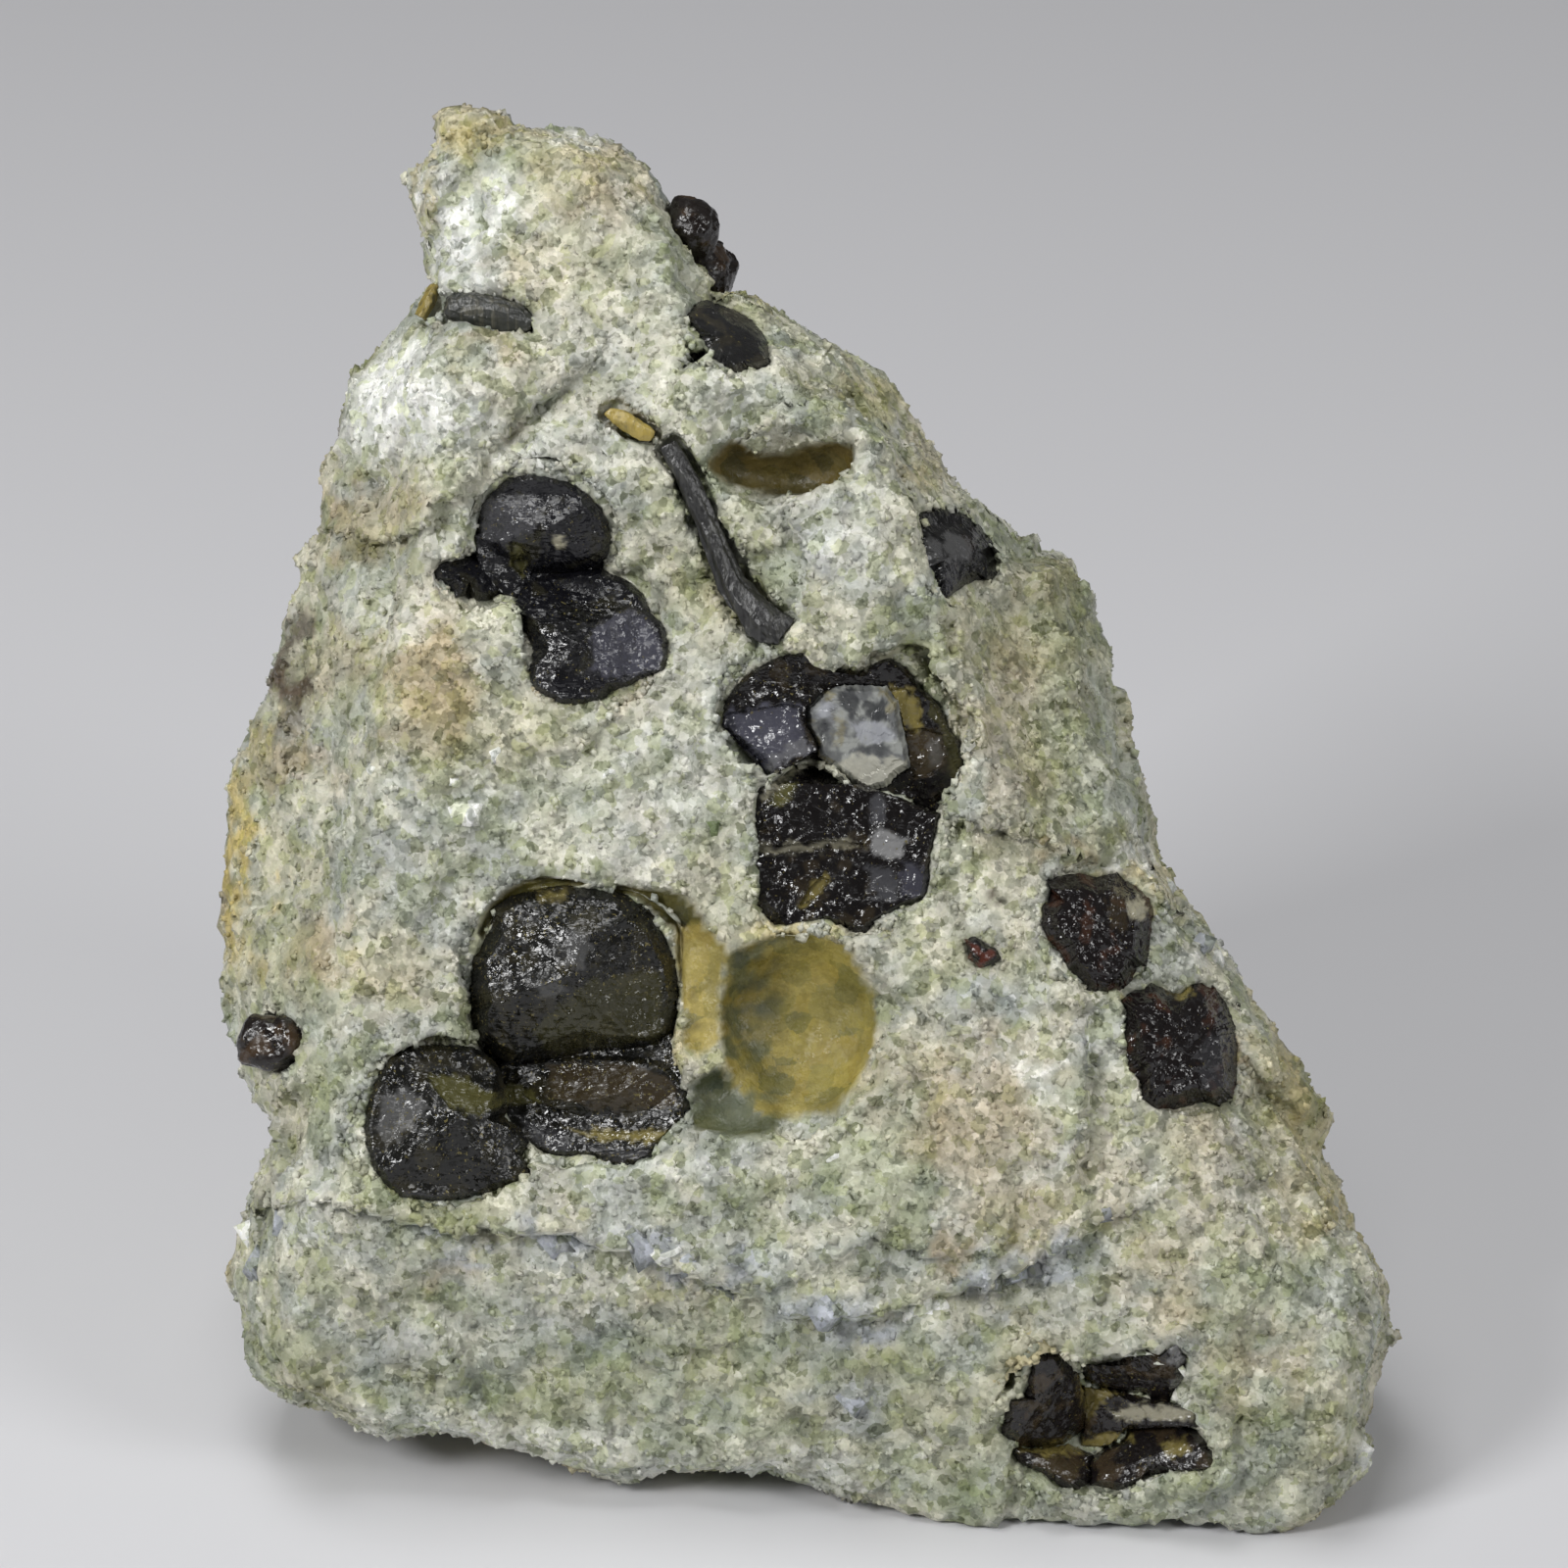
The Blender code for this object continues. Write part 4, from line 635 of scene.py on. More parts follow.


# The garnets: near-black crystals that grew in the rock, each group one piece in its own socket.
# Each is built up from its outline as the photograph shows it and from the flat faces that close it off,
# over the rock around it. Brown edges, grey faces and yellow epidote dust are laid over them, with painted
# sheen and highlights on their flat faces and painted shade under their ledges.
GARNET_SEED = 5
GARNET_STEP = 0.15              # mm between points of a crystal's mesh
GARNET_ROOT = 3.2               # mm that a crystal goes down into the rock
LEAST_RISE = 0.55               # mm that its faces stay above the rock around, if it has two or more
GARNET_WALL = 1.7               # rise of a crystal's side for each mm inwards
GARNETS = {
    # name: (finish, crystals); a crystal: (rise of its edge, faces, outline); a face: (rise at the
    # middle, slope to the right, slope upwards); an outline: corners in pixels; rises in mm.
    "garnet_group_upper": ("striated", [
        (0.0, [(2.6, 0.45, -0.25), (2.7, -0.50, -0.10), (2.4, 0.00, -0.90), (2.5, 0.05, 0.50)], [
            (508, 498), (520, 488), (540, 484), (562, 487), (582, 493), (598, 503), (612, 518),
            (620, 532), (624, 548), (622, 564), (610, 576), (590, 584), (560, 590), (541, 592),
            (534, 578), (520, 578), (504, 574), (494, 562), (481, 552), (484, 534), (492, 516),
            (500, 505),
        ]),
        (0.0, [(1.2, 0.2, -0.2), (1.3, -0.2, 0.1)], [
            (443, 575), (450, 570), (465, 568), (480, 562), (496, 560), (506, 570), (520, 578),
            (523, 592), (515, 606), (500, 613), (485, 614), (478, 606), (466, 610), (460, 600),
            (452, 592), (446, 590),
        ]),
        (0.0, [(2.6, 0.40, 0.40), (2.4, -0.55, 0.15), (2.3, -0.15, -0.60), (2.5, 0.05, 0.60)], [
            (541, 592), (560, 586), (590, 582), (612, 580), (640, 592), (655, 605), (664, 625),
            (678, 640), (681, 655), (681, 670), (678, 684), (660, 690), (645, 698), (625, 705),
            (610, 716), (590, 719), (570, 717), (556, 710), (545, 703), (541, 690), (539, 683),
            (545, 672), (543, 660), (538, 650), (533, 640), (530, 628), (524, 618), (532, 605),
        ]),
        (-0.4, [(-0.1, 0.0, -0.05)], [
            (484, 545), (620, 550), (618, 590), (600, 620), (545, 625), (528, 612), (505, 605),
            (488, 585),
        ]),
    ]),
    "garnet_group_lower": ("dusty", [
        (-0.5, [(3.6, 0.42, -0.36), (3.5, -0.46, -0.06), (3.7, 0.12, 0.50), (5.4, 0.0, -1.10)], [
            (505, 925), (520, 915), (545, 908), (575, 903), (600, 905), (625, 908), (645, 915),
            (662, 928), (675, 945), (685, 968), (692, 990), (695, 1015), (694, 1040), (690, 1062),
            (672, 1075), (640, 1078), (600, 1075), (560, 1080), (520, 1085), (500, 1075), (484, 1062),
            (478, 1045), (477, 1010), (480, 980), (492, 962), (500, 945),
        ]),
        (0.0, [(2.8, 0.62, -0.25), (2.6, -0.40, 0.15), (2.7, 0.05, 0.55), (3.1, 0.0, -0.80)], [
            (398, 1080), (412, 1068), (440, 1066), (470, 1067), (482, 1068), (500, 1078), (510, 1090),
            (515, 1105), (520, 1125), (515, 1140), (530, 1150), (540, 1165), (533, 1180), (540, 1190),
            (545, 1205), (530, 1208), (505, 1215), (480, 1222), (440, 1225), (410, 1222), (392, 1208),
            (380, 1190), (374, 1170), (372, 1150), (378, 1120), (385, 1100),
        ]),
        (0.0, [(2.0, 0.10, -0.70), (1.9, -0.15, 0.50), (2.2, -0.40, 0.0)], [
            (520, 1085), (560, 1080), (600, 1076), (640, 1078), (675, 1082), (690, 1095), (700, 1108),
            (705, 1130), (700, 1142), (680, 1152), (665, 1158), (630, 1160), (600, 1155), (585, 1155),
            (575, 1145), (550, 1135), (530, 1125), (515, 1110),
        ]),
        (0.0, [(1.0, 0.0, 0.35), (1.0, 0.0, -0.3)], [
            (520, 1130), (535, 1128), (560, 1142), (580, 1158), (600, 1170), (590, 1180), (575, 1183),
            (555, 1178), (540, 1170), (530, 1150),
        ]),
        (0.0, [(1.0, 0.0, 0.40), (1.0, 0.0, -0.3)], [
            (585, 1160), (610, 1160), (640, 1162), (665, 1158), (674, 1166), (668, 1180), (650, 1189),
            (630, 1188), (610, 1182), (598, 1178),
        ]),
        (-0.4, [(-0.1, 0.0, -0.05)], [
            (480, 1050), (560, 1060), (685, 1055), (700, 1110), (698, 1140), (665, 1175), (610, 1180),
            (560, 1178), (530, 1165), (505, 1130), (490, 1090),
        ]),
    ]),
    "garnet_group_centre": ("broken", [
        (0.1, [(2.3, 0.22, -0.20), (2.3, -0.24, -0.12), (3.6, -0.05, -1.10), (2.6, -0.60, 0.15)], [
            (738, 722), (745, 708), (755, 695), (770, 683), (785, 675), (800, 668), (818, 665),
            (830, 677), (860, 683), (885, 686), (893, 675), (908, 671), (922, 680), (940, 702),
            (957, 718), (968, 740), (980, 760), (985, 778), (978, 800), (966, 818), (958, 838),
            (940, 836), (925, 818), (905, 812), (885, 812), (868, 802), (850, 785), (832, 775),
            (812, 777), (795, 788), (780, 798), (770, 780), (752, 758), (738, 742),
        ]),
        (0.0, [(2.0, 0.18, -0.25), (1.9, -0.20, 0.05), (1.8, 0.10, 0.32)], [
            (780, 800), (795, 788), (812, 777), (832, 777), (850, 785), (868, 800), (880, 812),
            (886, 830), (884, 850), (868, 858), (850, 856), (830, 862), (800, 863), (780, 856),
            (770, 848), (768, 832), (775, 822), (785, 812),
        ]),
        (0.0, [(1.7, 0.20, -0.20), (1.6, -0.25, 0.0), (1.6, 0.0, 0.35)], [
            (884, 820), (895, 810), (905, 812), (925, 815), (942, 830), (945, 845), (935, 860),
            (928, 878), (915, 887), (890, 884), (880, 865), (884, 845),
        ]),
        (0.0, [(1.5, 0.20, -0.10), (1.4, -0.20, 0.10)], [
            (772, 882), (790, 885), (800, 868), (815, 862), (835, 864), (850, 860), (862, 880),
            (848, 900), (832, 915), (815, 928), (810, 942), (792, 948), (782, 938), (770, 925),
            (776, 905),
        ]),
        (0.0, [(1.3, 0.10, -0.30), (1.2, -0.15, 0.20)], [
            (828, 915), (845, 900), (860, 878), (884, 884), (890, 918), (905, 918), (920, 922),
            (905, 932), (895, 940), (885, 952), (870, 954), (855, 944), (840, 935), (826, 925),
        ]),
        (0.0, [(1.5, -0.30, 0.10), (1.5, 0.15, 0.30), (1.6, 0.0, -0.3)], [
            (884, 880), (900, 876), (920, 880), (935, 876), (944, 885), (952, 900), (945, 915),
            (930, 924), (905, 924), (888, 920), (882, 900),
        ]),
        (-0.4, [(-0.1, 0.05, -0.05)], [
            (770, 800), (880, 800), (960, 830), (950, 880), (945, 915), (905, 935), (880, 950),
            (840, 938), (800, 946), (776, 925), (772, 880), (768, 832),
        ]),
    ]),
    "garnet_ridge": ("jet", [
        (0.0, [(2.2, 0.10, -0.90), (1.9, -0.25, 0.05), (1.8, 0.05, 0.50), (1.9, 0.50, -0.1)], [
            (934, 521), (945, 518), (958, 515), (970, 518), (985, 523), (1000, 535), (1009, 548),
            (1016, 558), (1022, 575), (1023, 590), (1018, 602), (1008, 592), (995, 592), (985, 598),
            (975, 605), (966, 612), (958, 600), (951, 582), (943, 565), (938, 552), (937, 538),
        ]),
    ]),
    "garnet_below_summit": ("charcoal", [
        (0.0, [(1.6, 0.20, -0.25), (1.6, -0.20, -0.10), (1.5, 0.05, 0.30)], [
            (706, 308), (722, 306), (738, 312), (752, 318), (765, 325), (778, 338), (785, 352),
            (790, 374), (778, 378), (765, 378), (750, 380), (738, 374), (728, 365), (722, 352),
            (712, 340), (702, 328), (700, 320), (704, 314),
        ]),
        (0.0, [(0.7, 0.1, 0.1)], [
            (685, 375), (700, 365), (710, 352), (724, 352), (726, 362), (708, 372), (695, 380),
        ]),
    ]),
    "garnet_right_upper": ("pitted", [
        (0.0, [(2.4, 0.22, -0.12), (2.3, -0.24, 0.05), (2.2, 0.05, 0.28), (2.6, 0.0, -0.35)], [
            (1066, 898), (1085, 893), (1103, 891), (1120, 895), (1140, 890), (1147, 898), (1160, 905),
            (1172, 915), (1177, 930), (1175, 945), (1173, 965), (1170, 985), (1160, 988), (1155, 1000),
            (1145, 1010), (1132, 1016), (1115, 1014), (1105, 1003), (1090, 990), (1085, 975),
            (1070, 960), (1063, 945), (1064, 925), (1072, 910),
        ]),
    ]),
    "garnet_right_lower": ("pitted", [
        (0.0, [(2.5, 0.22, -0.12), (2.4, -0.24, 0.05), (2.4, 0.05, 0.28), (2.8, 0.0, -0.35)], [
            (1142, 1018), (1155, 1012), (1175, 1003), (1190, 1010), (1205, 1014), (1215, 1003),
            (1225, 1002), (1240, 1008), (1252, 1025), (1260, 1045), (1263, 1070), (1262, 1100),
            (1258, 1120), (1245, 1128), (1230, 1124), (1215, 1128), (1200, 1132), (1180, 1133),
            (1165, 1122), (1163, 1105), (1152, 1090), (1148, 1070), (1146, 1050), (1148, 1035),
        ]),
    ]),
    "garnet_foot": ("foot", [
        (0.0, [(1.3, 0.15, -0.15), (1.2, -0.2, 0.10)], [
            (1056, 1380), (1078, 1378), (1090, 1392), (1100, 1402), (1106, 1420), (1110, 1440),
            (1106, 1458), (1085, 1475), (1060, 1478), (1035, 1475), (1022, 1465), (1024, 1445),
            (1030, 1430), (1045, 1425), (1050, 1405),
        ]),
        (0.0, [(1.2, 0.04, -0.30), (1.1, -0.1, 0.20)], [
            (1098, 1392), (1125, 1392), (1142, 1388), (1155, 1378), (1170, 1376), (1185, 1382),
            (1200, 1372), (1210, 1385), (1208, 1405), (1200, 1420), (1198, 1435), (1180, 1436),
            (1170, 1425), (1150, 1424), (1130, 1420), (1104, 1412),
        ]),
        (0.0, [(1.2, -0.08, 0.25), (1.2, 0.1, -0.25)], [
            (1150, 1450), (1180, 1448), (1210, 1448), (1228, 1462), (1238, 1480), (1240, 1498),
            (1215, 1503), (1190, 1502), (1170, 1505), (1160, 1515), (1140, 1520), (1112, 1515),
            (1108, 1492), (1125, 1478), (1145, 1470),
        ]),
        (0.0, [(0.9, 0.1, 0.20), (0.9, -0.1, -0.2)], [
            (1028, 1476), (1060, 1478), (1090, 1474), (1116, 1484), (1116, 1510), (1100, 1520),
            (1080, 1515), (1060, 1502), (1040, 1492),
        ]),
        (-0.1, [(0.5, 0.0, 0.2)], [
            (1098, 1410), (1130, 1416), (1160, 1424), (1200, 1432), (1222, 1440), (1222, 1456),
            (1190, 1456), (1150, 1458), (1130, 1476), (1104, 1476), (1102, 1440),
        ]),
    ]),
    "garnet_speck": ("speck", [
        (0.1, [(0.6, 0.2, -0.2), (0.6, -0.2, 0.2)], [
            (985, 958), (995, 955), (1003, 962), (1015, 968), (1022, 978), (1010, 985), (1000, 988),
            (988, 978),
        ]),
    ]),
}
EDGE_GARNETS = {
    # The two at the outline of the rock keep their solids' shapes: finish; chips, lumps, pits in mm high.
    "garnet_summit": ("brown", 0.26, 0.10, 0.10),
    "garnet_left_edge": ("brown", 0.24, 0.08, 0.06),
}
EDGE_SKIN = 0.22 * MM
EDGE_SWELL = 0.1                # mm, so that the relief doesn't make them smaller
EDGE_WIDTHS = (2.8, 1.3, 0.62)  # mm, of the chips, lumps and pits
GARNET_FINISHES = {
    # name: black, brown, share of brown, knobs in mm, share of dust, height of the streaks, roughness,
    # tilt of small faces
    "brown": ((0.010, 0.007, 0.006), (0.045, 0.027, 0.014), 0.50, 0.0, 0.30, 0.6, 0.22, 0.34),
    "charcoal": ((0.013, 0.013, 0.013), (0.028, 0.025, 0.018), 0.40, 0.0, 0.35, 0.8, 0.22, 0.26),
    "striated": ((0.006, 0.006, 0.008), (0.016, 0.015, 0.010), 0.30, 0.0, 0.35, 1.0, 0.19, 0.36),
    "jet": ((0.005, 0.005, 0.005), (0.014, 0.010, 0.007), 0.30, 0.0, 0.05, 0.9, 0.12, 0.30),
    "broken": ((0.005, 0.004, 0.004), (0.020, 0.015, 0.009), 0.35, 0.0, 0.30, 0.7, 0.15, 0.38),
    "dusty": ((0.006, 0.006, 0.005), (0.017, 0.015, 0.008), 0.50, 0.0, 0.60, 0.9, 0.20, 0.40),
    "pitted": ((0.007, 0.005, 0.005), (0.036, 0.016, 0.010), 0.40, 0.34, 0.15, 0.2, 0.11, 0.32),
    "foot": ((0.010, 0.008, 0.008), (0.040, 0.028, 0.016), 0.50, 0.08, 0.50, 0.4, 0.18, 0.34),
    "speck": ((0.007, 0.006, 0.006), (0.075, 0.022, 0.014), 0.35, 0.10, 0.10, 0.1, 0.20, 0.40),
}
DUST = (0.13, 0.110, 0.040)
# Painted sheen: the bluish grey that the flat glossy faces reflect.
BLUE_GREY_SHEEN = (0.065, 0.065, 0.085)
# Painted highlights: the silvery sheen where glossy crystal faces catch the lights.
SILVER_HIGHLIGHT = (0.20, 0.20, 0.20)
GREY = (0.050, 0.050, 0.055)
OCHRE = (0.22, 0.18, 0.055)
OLIVE = (0.085, 0.080, 0.026)
BROWN = (0.055, 0.040, 0.020)
# Painted shade: near-black laid on the crystals where their ledges, sides and the core's recess fall into
# shadow.
PAINTED_SHADE = (0.003, 0.003, 0.003)
CREAM = (0.50, 0.47, 0.34)
FACES_FILMS_AND_PAINTED_LIGHT = [
    # Broken faces and films on the crystals, with painted sheen, highlights and shade among them: (colour,
    # strength, how far sunk in mm, corners in pixels).
    (BLUE_GREY_SHEEN, 0.95, 0.45, [
        (740, 727), (775, 722), (800, 717), (818, 720), (822, 748), (832, 770), (812, 773), (795, 783),
        (780, 797), (772, 775), (750, 757), (738, 742),
    ]),
    (SILVER_HIGHLIGHT, 0.45, 0.0, [
        (782, 772), (800, 762), (822, 752), (830, 768), (812, 773), (795, 783), (781, 795),
    ]),
    # painted shade in the recess round the pale core
    (PAINTED_SHADE, 0.6, 1.30, [
        (822, 722), (840, 705), (860, 698), (880, 698), (905, 700), (915, 715), (922, 740), (927, 765),
        (930, 784), (915, 792), (905, 803), (885, 808), (870, 799), (850, 783), (835, 772), (830, 755),
        (822, 740),
    ]),
    (OCHRE, 0.9, 0.3, [
        (905, 702), (925, 701), (940, 714), (940, 740), (932, 752), (918, 740), (912, 720),
    ]),
    (BROWN, 0.8, 0.3, [
        (922, 745), (940, 742), (962, 748), (966, 775), (952, 792), (932, 795), (926, 770),
    ]),
    (SILVER_HIGHLIGHT, 0.35, 0.0, [(948, 755), (960, 752), (962, 772), (952, 785), (945, 772)]),
    (OLIVE, 0.5, 0.0, [
        (945, 705), (960, 725), (975, 752), (984, 778), (976, 800), (966, 790), (964, 760), (950, 728),
    ]),
    (OLIVE, 0.9, 0.1, [(784, 820), (790, 805), (800, 796), (812, 797), (812, 808), (800, 821)]),
    (CREAM, 0.7, 0.0, [
        (776, 814), (790, 796), (808, 784), (826, 777), (828, 781), (810, 789), (794, 801), (780, 817),
    ]),
    (GREY, 0.95, 0.1, [(888, 816), (897, 811), (904, 818), (903, 840), (889, 842)]),
    (SILVER_HIGHLIGHT, 0.95, 0.1, [
        (888, 852), (898, 845), (914, 848), (924, 860), (920, 876), (902, 877), (889, 868),
    ]),
    (GREY, 0.95, 0.1, [(886, 882), (913, 884), (918, 900), (914, 920), (900, 920), (884, 912)]),
    (BLUE_GREY_SHEEN, 0.6, 0.1, [(922, 882), (942, 882), (950, 900), (944, 914), (922, 918), (918, 900)]),
    (CREAM, 0.3, 0.3, [
        (770, 862), (800, 862), (840, 856), (882, 860), (882, 866), (840, 866), (800, 872), (772, 870),
    ]),
    (OCHRE, 0.7, 0.3, [(826, 905), (838, 893), (848, 898), (836, 912), (820, 926), (814, 924)]),
    (BLUE_GREY_SHEEN, 0.75, 0.1, [
        (602, 642), (625, 628), (645, 622), (660, 632), (672, 650), (678, 668), (672, 684), (645, 690),
        (622, 694), (604, 680),
    ]),
    # painted shade under the overhanging top of the upper group's lower crystal and on its lower left
    (PAINTED_SHADE, 0.9, 0.2, [(562, 616), (600, 614), (636, 618), (626, 630), (600, 636), (576, 630)]),
    (PAINTED_SHADE, 0.5, 0.0, [(545, 625), (590, 636), (598, 680), (560, 700), (545, 690)]),
    (CREAM, 0.8, 0.0, [(563, 548), (572, 546), (580, 554), (574, 560), (565, 556)]),
    (OLIVE, 0.8, 0.3, [(520, 552), (534, 556), (538, 580), (532, 588), (522, 578)]),
    # painted sheen on the upper crystal's lit upper left
    (GREY, 0.7, 0.0, [(490, 512), (540, 500), (556, 520), (545, 545), (500, 556), (484, 545)]),
    (SILVER_HIGHLIGHT, 0.30, 0.0, [(575, 950), (600, 945), (604, 970), (594, 992), (580, 985)]),
    (SILVER_HIGHLIGHT, 0.25, 0.0, [(545, 1002), (575, 1000), (578, 1016), (550, 1018)]),
    (OLIVE, 0.30, 0.0, [(600, 1000), (690, 985), (692, 1060), (560, 1076), (540, 1050)]),
    # painted shade along the right side of the largest garnet
    (PAINTED_SHADE, 0.7, 0.0, [
        (664, 930), (690, 975), (696, 1020), (690, 1062), (672, 1066), (676, 1000), (660, 950),
    ]),
    (OCHRE, 0.6, 0.0, [(548, 912), (580, 906), (582, 916), (550, 920)]),
    (SILVER_HIGHLIGHT, 0.35, 0.0, [(386, 1120), (412, 1108), (440, 1130), (418, 1150), (404, 1168), (388, 1160)]),
    (OLIVE, 0.75, 0.1, [(436, 1100), (452, 1092), (500, 1112), (520, 1124), (490, 1138), (458, 1132)]),
    (GREY, 0.5, 0.0, [(404, 1212), (440, 1216), (480, 1214), (478, 1222), (440, 1225), (410, 1222)]),
    (OCHRE, 0.8, 0.1, [
        (575, 1150), (600, 1153), (640, 1156), (676, 1150), (690, 1156), (670, 1166), (600, 1162),
    ]),
    (OLIVE, 0.8, 0.1, [(515, 1108), (535, 1108), (550, 1124), (530, 1130), (516, 1124)]),
    (BROWN, 0.6, 0.0, [(560, 1086), (640, 1084), (690, 1104), (690, 1130), (620, 1132), (560, 1122)]),
    (GREY, 0.55, 0.0, [(530, 1138), (560, 1150), (590, 1172), (572, 1182), (545, 1170)]),
    (GREY, 0.55, 0.0, [(600, 1170), (640, 1172), (670, 1168), (664, 1182), (636, 1188), (612, 1182)]),
    (SILVER_HIGHLIGHT, 0.40, 0.0, [(946, 548), (958, 548), (962, 572), (951, 578), (945, 562)]),
    (SILVER_HIGHLIGHT, 0.40, 0.0, [
        (964, 544), (977, 543), (992, 558), (990, 572), (978, 575), (965, 570), (961, 556),
    ]),
    (GREY, 0.5, 0.0, [(956, 580), (985, 578), (978, 600), (966, 608)]),
    (CREAM, 0.8, 0.3, [(1154, 915), (1166, 912), (1172, 928), (1166, 940), (1152, 936), (1148, 922)]),
    (OCHRE, 0.8, 0.2, [(1190, 1004), (1214, 1004), (1216, 1016), (1204, 1020), (1192, 1014)]),
    (BROWN, 0.5, 0.0, [(1132, 905), (1150, 905), (1150, 950), (1130, 945)]),
    (GREY, 0.5, 0.0, [(1224, 1060), (1258, 1050), (1262, 1100), (1250, 1120), (1226, 1110)]),
    (OCHRE, 0.9, 0.1, [
        (1100, 1402), (1130, 1418), (1146, 1424), (1120, 1430), (1112, 1450), (1104, 1430),
    ]),
    (CREAM, 0.6, 0.1, [
        (1130, 1438), (1170, 1432), (1214, 1438), (1232, 1446), (1190, 1450), (1140, 1450),
    ]),
    (OCHRE, 0.85, 0.1, [
        (1036, 1478), (1060, 1476), (1110, 1464), (1150, 1458), (1158, 1470), (1110, 1478), (1070, 1490),
    ]),
    (SILVER_HIGHLIGHT, 0.9, 0.0, [(1192, 1380), (1202, 1372), (1212, 1384), (1206, 1394), (1194, 1392)]),
    (SILVER_HIGHLIGHT, 0.6, 0.0, [(1194, 1408), (1206, 1404), (1204, 1424), (1196, 1420)]),
    (BROWN, 0.8, 0.0, [(1050, 1488), (1085, 1484), (1105, 1496), (1098, 1514), (1066, 1504)]),
    (OCHRE, 0.7, 0.0, [(1184, 1472), (1210, 1468), (1214, 1484), (1192, 1486)]),
    (BROWN, 0.7, 0.0, [(1034, 1430), (1072, 1428), (1070, 1438), (1040, 1440)]),
]
ROCK_ROUND = 0.9                # mm outside an outline where the rock around it is felt for
OFF_LEVEL = 1.2                 # mm off the level fitted to it at which a point is left out
SOCKET_RIM = 1.5                # mm round a crystal where the rock closes up to it
SOCKET_GAP = 0.10               # mm that the rock stays below the level fitted round a crystal
LINING_GAP = 0.7                # mm more of that on a mould's lining
SOCKET_UNEVEN = (0.28, 1.1)     # mm high and wide
SOCKET_FLOOR = 1.6              # mm that the rock lies below that level under the crystal
SOCKET_WALL = (0.05, 0.45)      # mm inside the outline, from where to where it falls to the floor
MOST_CLOSING = 5.0              # mm; a point farther down is left there
TURNED_AWAY = -0.3              # rock that faces less towards the eye is left alone
RIM_SHAKE = 0.03                # mm
MIDDLE_INWARDS = 9.0            # mm; a crystal's middle point counts as this far in
CRYSTAL_CHIPS = (0.07, 1.2)     # mm high and wide, like the next
CRYSTAL_LUMPS = (0.05, 0.7)
KNOB_SIZE = 0.55                # mm
OVERLAY_RAGGED = 0.38              # mm
OVERLAY_WAVER = (0.6, 4, 41.0, 53.0)                   # like the wavers above, without the first
EYE = Vector((FACE_MIDDLE + EYE_DISTANCE * TO_EYE) * MM)
rock_tree = bvhtree.BVHTree.FromObject(rock, bpy.context.evaluated_depsgraph_get())


def seen_on_rock(across, up):
    """Where the eye meets the rock at that place on the face: out, in mm, or None beside the rock."""
    aim = Vector(off_face(np.array(across), np.array(up), np.array(0.0)))
    hit = rock_tree.ray_cast(EYE, aim - EYE)[0]
    return None if hit is None else float(on_face(np.array([hit]))[2][0])


def level_at(level, across, up):
    """Out for each place across and up on a level plane of the rock, in mm."""
    return level[0] + level[1] * across + level[2] * up


def rock_level(outline):
    """The plane of the rock around an outline: its out in the middle of the face and its two slopes."""
    middle = outline.mean(axis=0)
    rows, outs = [], []
    for corner in outline:
        away = corner - middle
        across, up = corner + away / np.linalg.norm(away) * ROCK_ROUND
        out = seen_on_rock(across, up)
        if out is not None:
            rows.append((1.0, across, up))
            outs.append(out)
    rows, outs = np.array(rows), np.array(outs)
    fit = np.linalg.lstsq(rows, outs, rcond=None)[0]
    near = np.abs(rows @ fit - outs) < OFF_LEVEL
    return np.linalg.lstsq(rows[near], outs[near], rcond=None)[0]


def close_socket(places, outline, level):
    """Brings the rock's points round a crystal and under it out to the level of the rock around."""
    across, up, out = on_face(places)
    depth = depth_inside(across, up, outline)
    gap = SOCKET_GAP + LINING_GAP * rock_lining - socket_unevenness
    wanted = level_at(level, across, up) - gap
    share = smooth_step(-SOCKET_RIM, -0.5 * SOCKET_RIM, depth) * (rock_faces_eye > TURNED_AWAY)
    rise = share * np.maximum(wanted - out, 0.0)
    rise = np.where(rise < MOST_CLOSING, rise, 0.0)
    return places + rise[:, None] * TO_EYE * MM


def clear_socket(places, outline, level):
    """Presses the rock's points under a crystal down, so that none of them comes through it."""
    across, up, out = on_face(places)
    depth = depth_inside(across, up, outline)
    wanted = level_at(level, across, up) - SOCKET_FLOOR
    share = smooth_step(*SOCKET_WALL, depth) * (rock_faces_eye > TURNED_AWAY)
    fall = share * np.maximum(out - wanted, 0.0)
    return places - fall[:, None] * TO_EYE * MM


def along(outline, step, rng):
    """Points along a closed outline, close together and a little uneven."""
    points = []
    for start, end in zip(outline, np.roll(outline, -1, axis=0)):
        count = max(1, round(np.linalg.norm(end - start) / step))
        points.extend(start + (end - start) * share for share in np.arange(count) / count)
    return np.array(points) + rng.normal(0.0, RIM_SHAKE, (len(points), 2))


